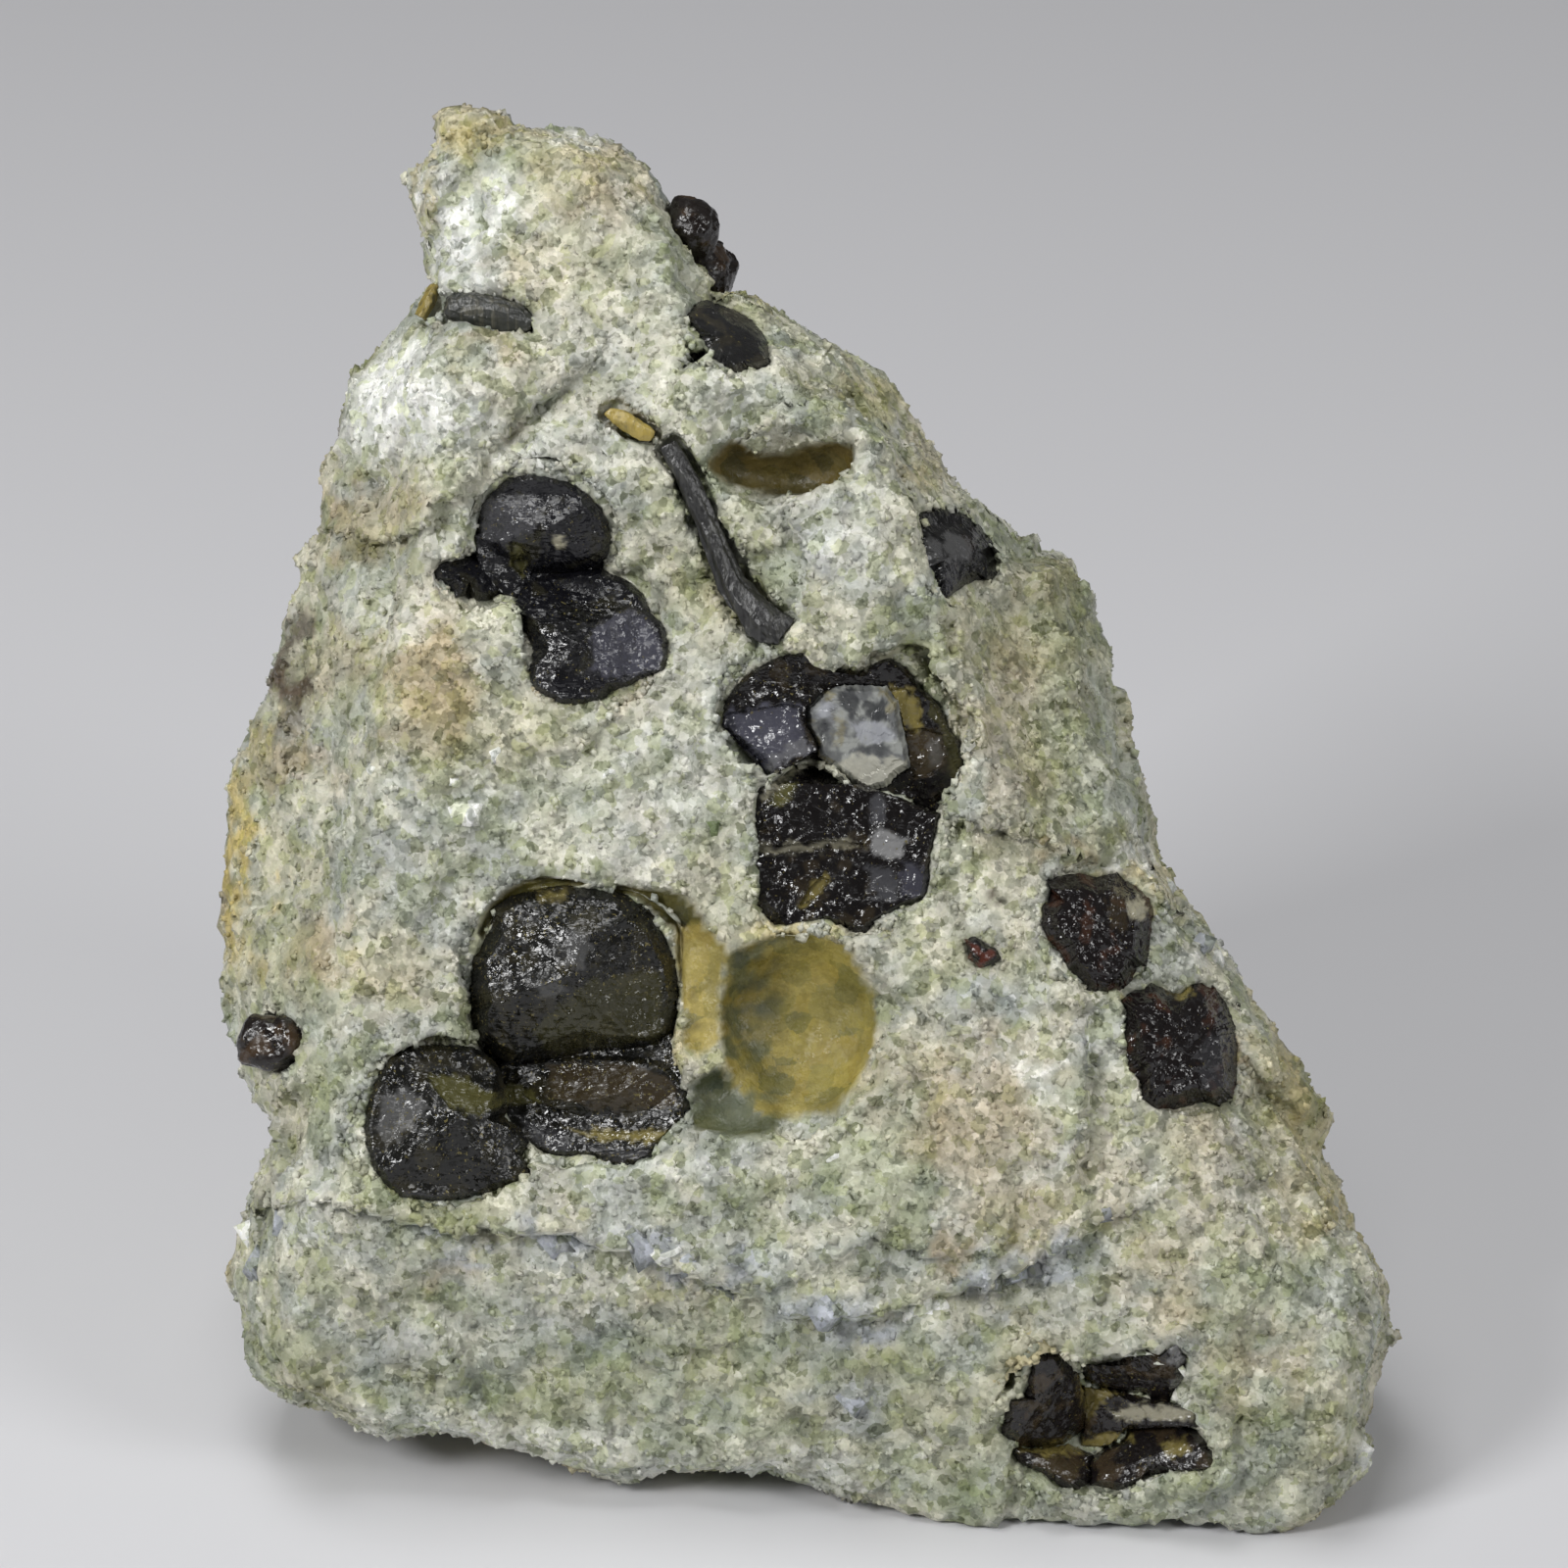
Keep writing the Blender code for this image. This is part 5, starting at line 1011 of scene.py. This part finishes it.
def crystal_mesh(edge, faces, outline, level, knobs, rng, sunken=True):
    """One crystal: rings of points from its middle to its outline, then down to its root."""
    rim = along(outline, GARNET_STEP, rng)
    middle = outline.mean(axis=0)
    spokes = np.linalg.norm(rim - middle, axis=1)
    rings = max(6, int(spokes.max() / GARNET_STEP))
    shares = (np.arange(1, rings + 1) / rings)[:, None, None]
    flat = np.vstack([middle[None], (middle + shares * (rim - middle)).reshape(-1, 2)])
    inwards = np.concatenate([[1.0], np.repeat(1.0 - shares.ravel(), len(rim))])
    inwards *= np.concatenate([[MIDDLE_INWARDS], np.tile(spokes, rings)])
    across, up = flat.T
    rises = [
        rise + right * (across - middle[0]) + upwards * (up - middle[1]) for rise, right, upwards in faces
    ]
    least = LEAST_RISE if len(faces) > 1 else -LEAST_RISE
    height = np.minimum(np.maximum(np.min(rises, axis=0), least), edge + GARNET_WALL * inwards)
    places = off_face(across, up, 0.0 * across)
    if sunken:
        for _, _, sunk, overlay in FACES_FILMS_AND_PAINTED_LIGHT:
            height -= sunk * smooth_step(0.0, 0.15, depth_inside(across, up, from_photo(overlay)))
    relief = CRYSTAL_CHIPS[0] * chips(places, CRYSTAL_CHIPS[1] * MM)
    relief += CRYSTAL_LUMPS[0] * lumps(places, CRYSTAL_LUMPS[1] * MM, 2)
    height += relief
    if knobs:
        near = np.array([noise.voronoi(Vector(point))[0][0] for point in places / (KNOB_SIZE * MM)])
        height += knobs * (0.5 - near)
    places = off_face(across, up, level_at(level, across, up) + height)
    root = off_face(*rim.T, level_at(level, *rim.T) + edge - GARNET_ROOT)
    places = np.vstack([places, root, root.mean(axis=0)[None]])
    return places, rings + 1, len(rim)


def ring_faces(rings, around, first):
    """Triangles and squares over rings of points, with a point closing them at each end."""
    following = np.roll(np.arange(around), -1)
    squares = []
    for ring in range(rings - 1):
        one = first + 1 + ring * around
        two = one + around
        squares += [(one + j, two + j, two + i, one + i) for i, j in enumerate(following)]
    last = first + 1 + rings * around
    one = last - around
    start = [(first, first + 1 + j, first + 1 + i) for i, j in enumerate(following)]
    end = [(one + j, last, one + i) for i, j in enumerate(following)]
    return start + squares + end


def mesh_piece(name, places, faces):
    mesh = bpy.data.meshes.new(name)
    mesh.from_pydata(places.tolist(), [], faces)
    mesh.update()
    piece = bpy.data.objects.new(name, mesh)
    bpy.context.scene.collection.objects.link(piece)
    return piece


def with_overlays(places, colours, overlays, ragged_by=OVERLAY_RAGGED):
    """Crystal colours with the overlays laid over them, ragged at their edges by that many mm: films, and
    on the garnets painted sheen, highlights and shade.
    """
    across, up = wavering_face(places, ragged_by, *OVERLAY_WAVER)
    for overlay, most, _, corners in overlays:
        share = most * smooth_step(-0.15, 0.25, depth_inside(across, up, from_photo(corners)))
        colours = mixed(colours, np.array(overlay), share)
    return colours


def garnet_material(name, dust_share, streaks, roughness, knobs):
    """Black glassy garnet over its tint, with fine dust, streaks and a sparkling uneven skin."""
    material, tree, surface, where = new_material(name, roughness, 1.50)
    tint = node(tree, "ShaderNodeAttribute", attribute_name="tint").outputs["Color"]
    fine = noise_at(tree, where, 4200.0, 2.0, 0.6)
    specks = between(tree, fine, 0.70 - 0.12 * dust_share, 0.74 - 0.10 * dust_share)
    region = between(tree, noise_at(tree, where, 330.0, 2.0), 0.38, 0.60, 0.15, 1.0)
    dusted = maths(tree, "ShaderNodeMath", "MULTIPLY", specks, region)
    tree.links.new(blend(tree, dusted, tint, DUST), surface.inputs["Base Color"])
    gloss = between(tree, noise_at(tree, where, 900.0), 0.3, 0.7, roughness * 0.6, roughness * 1.8)
    tree.links.new(gloss, surface.inputs["Roughness"])
    stretched = node(tree, "ShaderNodeMapping")
    stretched.inputs["Rotation"].default_value = (0.5, 0.35, 0.0)
    stretched.inputs["Scale"].default_value = (0.22, 1.0, 1.0)
    tree.links.new(where, stretched.inputs["Vector"])
    bump(tree, surface, noise_at(tree, where, 1400.0, 3.0), 0.08 * MM)
    bump(tree, surface, noise_at(tree, stretched.outputs["Vector"], 2600.0, 2.0), 0.09 * MM, streaks)
    uneven = ragged(tree, where, 1500.0, 0.8 * MM)
    tilt(tree, surface, cells_at(tree, uneven, 1.3 * MM), 0.14)
    tilt(tree, surface, cells_at(tree, uneven, 0.30 * MM), knobs)
    return material


finishes = {
    name: garnet_material(f"{name} garnet", *looks[4:]) for name, looks in GARNET_FINISHES.items()
}
crystals = []


def finish_garnet(piece, garnet, finish, away):
    """Colours a garnet, hides the solid it stands for and attaches it to the rock's body."""
    places = places_of(piece)
    black, brown, brown_share = GARNET_FINISHES[finish][:3]
    clouds = lumps(places, 1.6 * MM, 3, away + 9.0)
    browned = smooth_step(0.45 - 0.7 * brown_share, 0.55 - 0.3 * brown_share, clouds)
    colours = mixed(np.tile(black, (len(places), 1)), np.array(brown), browned)
    paint(piece, with_overlays(places, colours, FACES_FILMS_AND_PAINTED_LIGHT))
    piece.data.materials.clear()
    piece.data.materials.append(finishes[finish])
    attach(piece, "root")
    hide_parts(garnet)
    crystals.append(piece)


garnet_rng = np.random.default_rng(GARNET_SEED)
socket_unevenness = SOCKET_UNEVEN[0] * lumps(rock_places, SOCKET_UNEVEN[1] * MM, 2, 91.0)
for index, (garnet, (finish, bodies)) in enumerate(GARNETS.items()):
    all_places, all_faces = [], []
    start = 0
    outlines = [from_photo(corners) for _, _, corners in bodies]
    levels = [rock_level(outline) for outline in outlines]
    for change in (close_socket, clear_socket):
        for outline, level in zip(outlines, levels):
            rock_places = change(rock_places, outline, level)
    knobs = GARNET_FINISHES[finish][3]
    for (edge, faces, _), outline, level in zip(bodies, outlines, levels):
        places, rings, around = crystal_mesh(edge, faces, outline, level, knobs, garnet_rng)
        all_faces += ring_faces(rings, around, start)
        all_places.append(places)
        start += len(places)
    piece = mesh_piece(f"{garnet}_crystal", np.vstack(all_places), all_faces)
    finish_garnet(piece, garnet, finish, 17.0 * index)

set_places(rock, rock_places)

for index, (garnet, (finish, chip, lump, pit)) in enumerate(EDGE_GARNETS.items()):
    piece = copy_of_solid(garnet, f"{garnet}_crystal")
    apply_modifier(piece, "REMESH", mode="VOXEL", voxel_size=EDGE_SKIN, use_smooth_shade=True)
    apply_modifier(piece, "SMOOTH", factor=0.5, iterations=1)
    places, normals = places_of(piece), normals_of(piece)
    chip_width, lump_width, pit_width = np.array(EDGE_WIDTHS) * MM
    away = 171.0 + 17.0 * index
    relief = EDGE_SWELL + chip * chips(places, chip_width, away) + lump * lumps(places, lump_width, 3, away)
    relief -= pit * smooth_step(0.0, 0.6, lumps(places, pit_width, 2, away + 5.0)) * 1.5
    set_places(piece, places + normals * relief[:, None] * MM)
    finish_garnet(piece, garnet, finish, away)


# The pale core: glassy quartz that shows in the broken face of the centre garnets, with dark spots
# and a margin of yellow epidote.
CORE_OUTLINE = [
    (822, 722), (840, 705), (860, 699), (880, 699), (905, 701), (916, 715), (921, 740), (926, 765),
    (929, 782), (915, 791), (905, 803), (885, 808), (870, 799), (850, 783), (835, 772), (830, 755),
    (822, 740),
]
CORE_RISE = 1.25                # mm over the rock around it
CORE_EDGE = 0.6                 # mm, the same for its edge
CORE_GREYS = (0.14, 0.145, 0.145), (0.32, 0.33, 0.31)
CORE_RAGGED = 0.5               # mm
PALE, PALE_BLUE, DARK = (0.46, 0.45, 0.38), (0.36, 0.37, 0.40), (0.035, 0.037, 0.040)
CORE_FILMS = [
    (PALE, 0.9, 0.0, [
        (850, 775), (880, 770), (925, 775), (928, 790), (905, 803), (885, 808), (868, 797),
    ]),
    (PALE_BLUE, 0.8, 0.0, [(832, 718), (850, 712), (855, 730), (840, 738), (830, 732)]),
    (PALE_BLUE, 0.8, 0.0, [(865, 735), (885, 738), (912, 742), (915, 758), (880, 755)]),
    (OCHRE, 0.7, 0.0, [(822, 740), (828, 735), (842, 772), (850, 783), (835, 774), (826, 755)]),
    (OCHRE, 0.6, 0.0, [(838, 708), (850, 700), (856, 705), (845, 716)]),
    (OCHRE, 0.6, 0.0, [(890, 700), (906, 702), (918, 722), (905, 722)]),
    (OCHRE, 0.5, 0.0, [(855, 728), (862, 735), (858, 760), (850, 762)]),
    (DARK, 0.9, 0.0, [(830, 738), (840, 734), (848, 745), (844, 758), (834, 750)]),
    (DARK, 0.85, 0.0, [(852, 702), (878, 700), (880, 728), (868, 734), (856, 722)]),
    (DARK, 0.9, 0.0, [(882, 718), (902, 714), (910, 728), (902, 740), (886, 736)]),
    (DARK, 0.6, 0.0, [(872, 758), (900, 756), (908, 768), (880, 770)]),
]
broken_garnet = GARNETS["garnet_group_centre"][1][0][2]
core_level = rock_level(from_photo(broken_garnet))
places, rings, around = crystal_mesh(
    CORE_EDGE, [(CORE_RISE, 0.0, 0.0)], from_photo(CORE_OUTLINE), core_level, 0.0, garnet_rng, sunken=False,
)
core = mesh_piece("core", places, ring_faces(rings, around, 0))
places = places_of(core)
colours = np.tile(CORE_GREYS[0], (len(places), 1))
colours = mixed(colours, np.array(CORE_GREYS[1]), smooth_step(-0.2, 0.3, lumps(places, 0.8 * MM)))
paint(core, with_overlays(places, colours, CORE_FILMS, CORE_RAGGED))
material, tree, surface, where = new_material("core quartz", 0.20)
tint = node(tree, "ShaderNodeAttribute", attribute_name="tint").outputs["Color"]
tree.links.new(tint, surface.inputs["Base Color"])
bump(tree, surface, noise_at(tree, where, 1500.0), 0.10 * MM)
tilt(tree, surface, cells_at(tree, where, 0.7 * MM), 0.3)
core.data.materials.clear()
core.data.materials.append(material)
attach(core, "root")
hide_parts("quartz_core")
crystals.append(core)


# The hornblende: a long dark blade and a flat plate, fibrous along their length, grown into the rock.
# The epidote: a waxy olive chip at the neck's edge and a streak beside the blade's upper end.
BLADE_LOOKS = {
    # name: fibres run towards (x, y, z), fibre height in mm, colours, slot
    "hornblende_blade": (
        (0.42, -0.40, -0.81), 0.16, (0.010, 0.010, 0.010), (0.045, 0.045, 0.040), "hornblende",
    ),
    "hornblende_plate": (
        (0.98, 0.0, -0.20), 0.20, (0.028, 0.030, 0.026), (0.10, 0.095, 0.07), "hornblende",
    ),
    "epidote_chip": ((0.3, 0.2, 0.93), 0.14, (0.26, 0.20, 0.05), (0.06, 0.05, 0.02), "epidote"),
    "epidote_streak": ((0.90, 0.10, -0.42), 0.14, (0.36, 0.27, 0.06), (0.12, 0.10, 0.03), "epidote"),
}
BLADE_SKIN = 0.14 * MM
BLADE_SHRINK = 0.14             # mm taken off, for the fibres to stand on
BLADE_STRETCH = 0.9             # share of a fibre's way that its noise leaves out


def fibrous_material(name, fibre_way, dark, pale, roughness):
    material, tree, surface, where = new_material(name, roughness, 1.65)
    turn = Vector(fibre_way).rotation_difference(Vector((0, 0, 1))).to_euler()
    fibres = node(tree, "ShaderNodeMapping")
    fibres.inputs["Rotation"].default_value = turn
    fibres.inputs["Scale"].default_value = (1.0, 1.0, 0.08)
    tree.links.new(where, fibres.inputs["Vector"])
    strands = noise_at(tree, fibres.outputs["Vector"], 2600.0, 4.0)
    colour = blend(tree, between(tree, strands, 0.45, 0.75), dark, pale)
    tree.links.new(colour, surface.inputs["Base Color"])
    bump(tree, surface, strands, 0.16 * MM)
    return material


for blade, (fibre_way, height, dark, pale, slot) in BLADE_LOOKS.items():
    piece = copy_of_solid(blade, f"{blade}_crystal")
    apply_modifier(piece, "REMESH", mode="VOXEL", voxel_size=BLADE_SKIN, use_smooth_shade=True)
    apply_modifier(piece, "SMOOTH", factor=0.5, iterations=3)
    places, normals = places_of(piece), normals_of(piece)
    direction = np.array(Vector(fibre_way).normalized())
    stretched = places - np.outer(places @ direction, direction) * BLADE_STRETCH
    relief = -BLADE_SHRINK + height * lumps(stretched, 0.5 * MM) + 0.5 * height * lumps(places, 1.2 * MM)
    set_places(piece, places + normals * relief[:, None] * MM)
    piece.data.materials.clear()
    piece.data.materials.append(fibrous_material(f"fibrous {blade}", fibre_way, dark, pale, 0.34))
    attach(piece, "root")
    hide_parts(blade)
    crystals.append(piece)


# The grains: the sugar of the rock where it stands out of the broken surface, small uneven blocks in the
# colours around them. They are two joined meshes, one in front and one behind, and a third holds the
# few that show by themselves.
GRAIN_SEED = 11
CLEAR, BLUISH = (0.86, 0.86, 0.84), (0.40, 0.42, 0.47)
DULL, LEAF = (0.27, 0.28, 0.29), (0.20, 0.25, 0.12)
LARGE_GRAINS = [
    # Single grains that show by themselves: pixel of the photograph, half size in mm, colour.
    (470, 825, 0.75, CLEAR), (480, 832, 0.60, CLEAR), (425, 790, 0.55, CLEAR), (380, 785, 0.35, CLEAR),
    (463, 800, 0.40, CLEAR), (725, 845, 0.50, LEAF), (1123, 1240, 0.60, DULL), (945, 1337, 0.80, CLEAR),
    (928, 1340, 0.60, CLEAR), (960, 1333, 0.60, CLEAR), (850, 1180, 0.45, CLEAR),
    (660, 1270, 0.95, BLUISH), (645, 1262, 0.70, DULL), (700, 1285, 0.75, BLUISH),
    (680, 1278, 0.70, CLEAR), (560, 1265, 0.60, BLUISH), (575, 1272, 0.50, DULL),
    (1060, 1288, 0.80, DULL), (1040, 1300, 0.75, BLUISH), (1015, 1306, 0.60, DULL),
    (738, 1318, 0.60, DULL), (845, 1340, 0.70, BLUISH), (870, 1430, 0.60, BLUISH),
    (1190, 905, 0.50, CLEAR), (1225, 965, 0.70, BLUISH), (1240, 980, 0.50, CLEAR),
    (258, 1260, 0.90, CLEAR), (290, 1250, 0.70, BLUISH), (262, 1290, 0.70, BLUISH),
    (505, 770, 0.35, CLEAR), (620, 790, 0.35, CLEAR), (1385, 1480, 0.70, CLEAR),
]
LARGE_SINK = 0.80               # of a large grain's half size
CORNERS = np.array([(x, y, z) for x in (-1, 1) for y in (-1, 1) for z in (-1, 1)], float)
SIDES = np.array([(0, 1, 3, 2), (4, 6, 7, 5), (0, 4, 5, 1), (2, 3, 7, 6), (0, 2, 6, 4), (1, 5, 7, 3)])
BLOCK_STRETCH = (0.65, 1.25)    # of a block's half size along each of its sides
BLOCK_SKEW = 0.30               # of its half size, each corner by itself
GRAIN_SHARES = (0.40, 0.28)     # of the rock's points that hold a grain, in front and behind
FRONT_FROM = 0.1                # how far rock has to face the eye to be in front
GRAIN_SHAKE = 0.05 * MM
GRAIN_CLEARANCE = 0.05 * MM     # round the crystals
GRAIN_TONE = (0.85, 1.18)       # from the darkest to the lightest, of the rock's own colour
GRAIN_HALF = (0.10, 0.28)       # mm
GRAIN_SINK = 0.86               # of a grain's half size, below the rock's skin


def turns(rng, count):
    """Rotation matrices, each turned at random."""
    q = rng.normal(size=(count, 4))
    q /= np.linalg.norm(q, axis=1)[:, None]
    w, x, y, z = q.T
    return np.array([
        [1 - 2 * (y * y + z * z), 2 * (x * y - z * w), 2 * (x * z + y * w)],
        [2 * (x * y + z * w), 1 - 2 * (x * x + z * z), 2 * (y * z - x * w)],
        [2 * (x * z - y * w), 2 * (y * z + x * w), 1 - 2 * (x * x + y * y)],
    ]).transpose(2, 0, 1)


def make_blocks(name, centres, halves, colours, rng, material):
    """One mesh of many small uneven blocks, one at each centre."""
    count = len(centres)
    shapes = CORNERS[None] * rng.uniform(*BLOCK_STRETCH, (count, 1, 3))
    shapes = shapes + rng.uniform(-BLOCK_SKEW, BLOCK_SKEW, (count, len(CORNERS), 3))
    corners = np.einsum("nij,nkj->nki", turns(rng, count), shapes) * halves[:, None, None]
    corners = corners + centres[:, None]
    corners[..., 2] = np.maximum(corners[..., 2], 0.0)
    faces = SIDES[None] + len(CORNERS) * np.arange(count)[:, None, None]
    loop_starts = np.arange(0, count * SIDES.size, SIDES.shape[1], dtype=np.int32)
    mesh = bpy.data.meshes.new(name)
    mesh.vertices.add(count * len(CORNERS))
    mesh.vertices.foreach_set("co", corners.astype(np.float32).ravel())
    mesh.loops.add(count * SIDES.size)
    mesh.loops.foreach_set("vertex_index", faces.astype(np.int32).ravel())
    mesh.polygons.add(count * len(SIDES))
    mesh.polygons.foreach_set("loop_start", loop_starts)
    mesh.update(calc_edges=True)
    mesh.validate()
    piece = bpy.data.objects.new(name, mesh)
    bpy.context.scene.collection.objects.link(piece)
    paint(piece, np.repeat(colours, len(CORNERS), axis=0))
    mesh.materials.append(material)
    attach(piece, "root")
    return piece


def clear_of_crystals(places, least):
    """Which places lie at least that far outside every crystal."""
    clear = np.ones(len(places), bool)
    for piece in crystals:
        tree = bvhtree.BVHTree.FromObject(piece, bpy.context.evaluated_depsgraph_get())
        points = places_of(piece)
        near = (places > points.min(axis=0) - least) & (places < points.max(axis=0) + least)
        for index in np.flatnonzero(near.all(axis=1)):
            point = Vector(places[index])
            found, normal, _, distance = tree.find_nearest(point)
            outside = (point - found).dot(normal) > 0.0
            if distance < least or not outside:
                clear[index] = False
    return clear


rng = np.random.default_rng(GRAIN_SEED)
grain_share = np.where(rock_faces_eye > FRONT_FROM, *GRAIN_SHARES) * (rock_lining_share < 0.3)
keep = rng.random(len(rock_places)) < grain_share
keep &= ~((rock_places[:, 2] < 0.5 * MM) & (rock_normals[:, 2] < -0.3))
grain_normals = rock_normals[keep]
grain_places = rock_places[keep] + rng.normal(0.0, GRAIN_SHAKE, (keep.sum(), 3))
low, high = GRAIN_HALF
grain_halves = (low + (high - low) * rng.random(keep.sum()) ** 2.0) * MM
grain_places -= grain_normals * (grain_halves * GRAIN_SINK)[:, None]
clear = clear_of_crystals(grain_places, GRAIN_CLEARANCE)
grain_places, grain_normals, grain_halves = (
    values[clear] for values in (grain_places, grain_normals, grain_halves)
)
large_tints, large_halves, large_places = [], [], []
for pixel_x, pixel_y, half, grain_colour in LARGE_GRAINS:
    across, up = from_photo([(pixel_x, pixel_y)])[0]
    out = seen_on_rock(across, up)
    if out is not None:
        large_places.append(off_face(np.array(across), np.array(up), np.array(out - half * LARGE_SINK)))
        large_halves.append(half * MM)
        large_tints.append(grain_colour)
faces_eye = grain_normals @ TO_EYE
tint = rock_base(grain_places) * rng.uniform(*GRAIN_TONE, (len(grain_places), 1))
tint = rock_colour(grain_places, faces_eye, tint)
large = (np.array(values) for values in (large_places, large_halves, large_tints))
make_blocks("grains_large", *large, rng, sugar)
for side, there in {"front": faces_eye > FRONT_FROM, "behind": faces_eye <= FRONT_FROM}.items():
    make_blocks(f"grains_{side}", grain_places[there], grain_halves[there], tint[there], rng, sugar)


# The stage: a flat pale sheet under the specimen, two soft boxes and a wide overhead light.
FLOOR_SIZE = 3.0                # m
FLOOR_PLACE = (0.0, 0.6, -0.0002)
FLOOR_COLOUR = (0.63, 0.63, 0.65, 1.0)
WORLD_STRENGTH = 0.11
LIGHTS_AIM = Vector((0.0, 0.0, 0.04))
LIGHTS = {
    # name: place and size in m, power in W
    "left_box": ((-0.36, -0.30, 0.36), (0.16, 0.16), 1.95),
    "right_box": ((0.38, -0.28, 0.32), (0.20, 0.20), 1.00),
    "overhead": ((-0.10, 0.02, 0.60), (0.34, 0.26), 1.60),
}
SENSOR_WIDTH = 36.0             # mm
VIEW_WIDTH = 96.0               # mm of the crystal face across the picture
CLIP_START = 0.01

bpy.ops.mesh.primitive_plane_add(size=FLOOR_SIZE, location=FLOOR_PLACE)
floor = bpy.context.object
floor.name = "floor"
material, tree, surface, where = new_material("pale paper", 0.7)
surface.inputs["Base Color"].default_value = FLOOR_COLOUR
floor.data.materials.append(material)

world = bpy.data.worlds.new("studio")
bpy.context.scene.world = world
world.use_nodes = True
world.node_tree.nodes["Background"].inputs["Color"].default_value = (1.0, 1.0, 1.0, 1.0)
world.node_tree.nodes["Background"].inputs["Strength"].default_value = WORLD_STRENGTH


def soft_box(name, place, size, power):
    light = bpy.data.lights.new(name, "AREA")
    light.shape = "RECTANGLE"
    light.size, light.size_y = size
    light.energy = power
    lamp = bpy.data.objects.new(name, light)
    bpy.context.scene.collection.objects.link(lamp)
    lamp.location = place
    lamp.rotation_euler = (LIGHTS_AIM - Vector(place)).to_track_quat("-Z", "Y").to_euler()


for name, (place, size, power) in LIGHTS.items():
    soft_box(name, place, size, power)

camera_data = bpy.data.cameras.new("camera")
camera = bpy.data.objects.new("camera", camera_data)
bpy.context.scene.collection.objects.link(camera)
camera.location = (FACE_MIDDLE + EYE_DISTANCE * TO_EYE) * MM
camera.rotation_euler = (math.pi / 2 - LEAN, 0.0, 0.0)
camera_data.sensor_width = SENSOR_WIDTH
camera_data.lens = SENSOR_WIDTH * EYE_DISTANCE / VIEW_WIDTH
camera_data.clip_start = CLIP_START
bpy.context.scene.camera = camera
bpy.context.scene.view_settings.view_transform = "Standard"
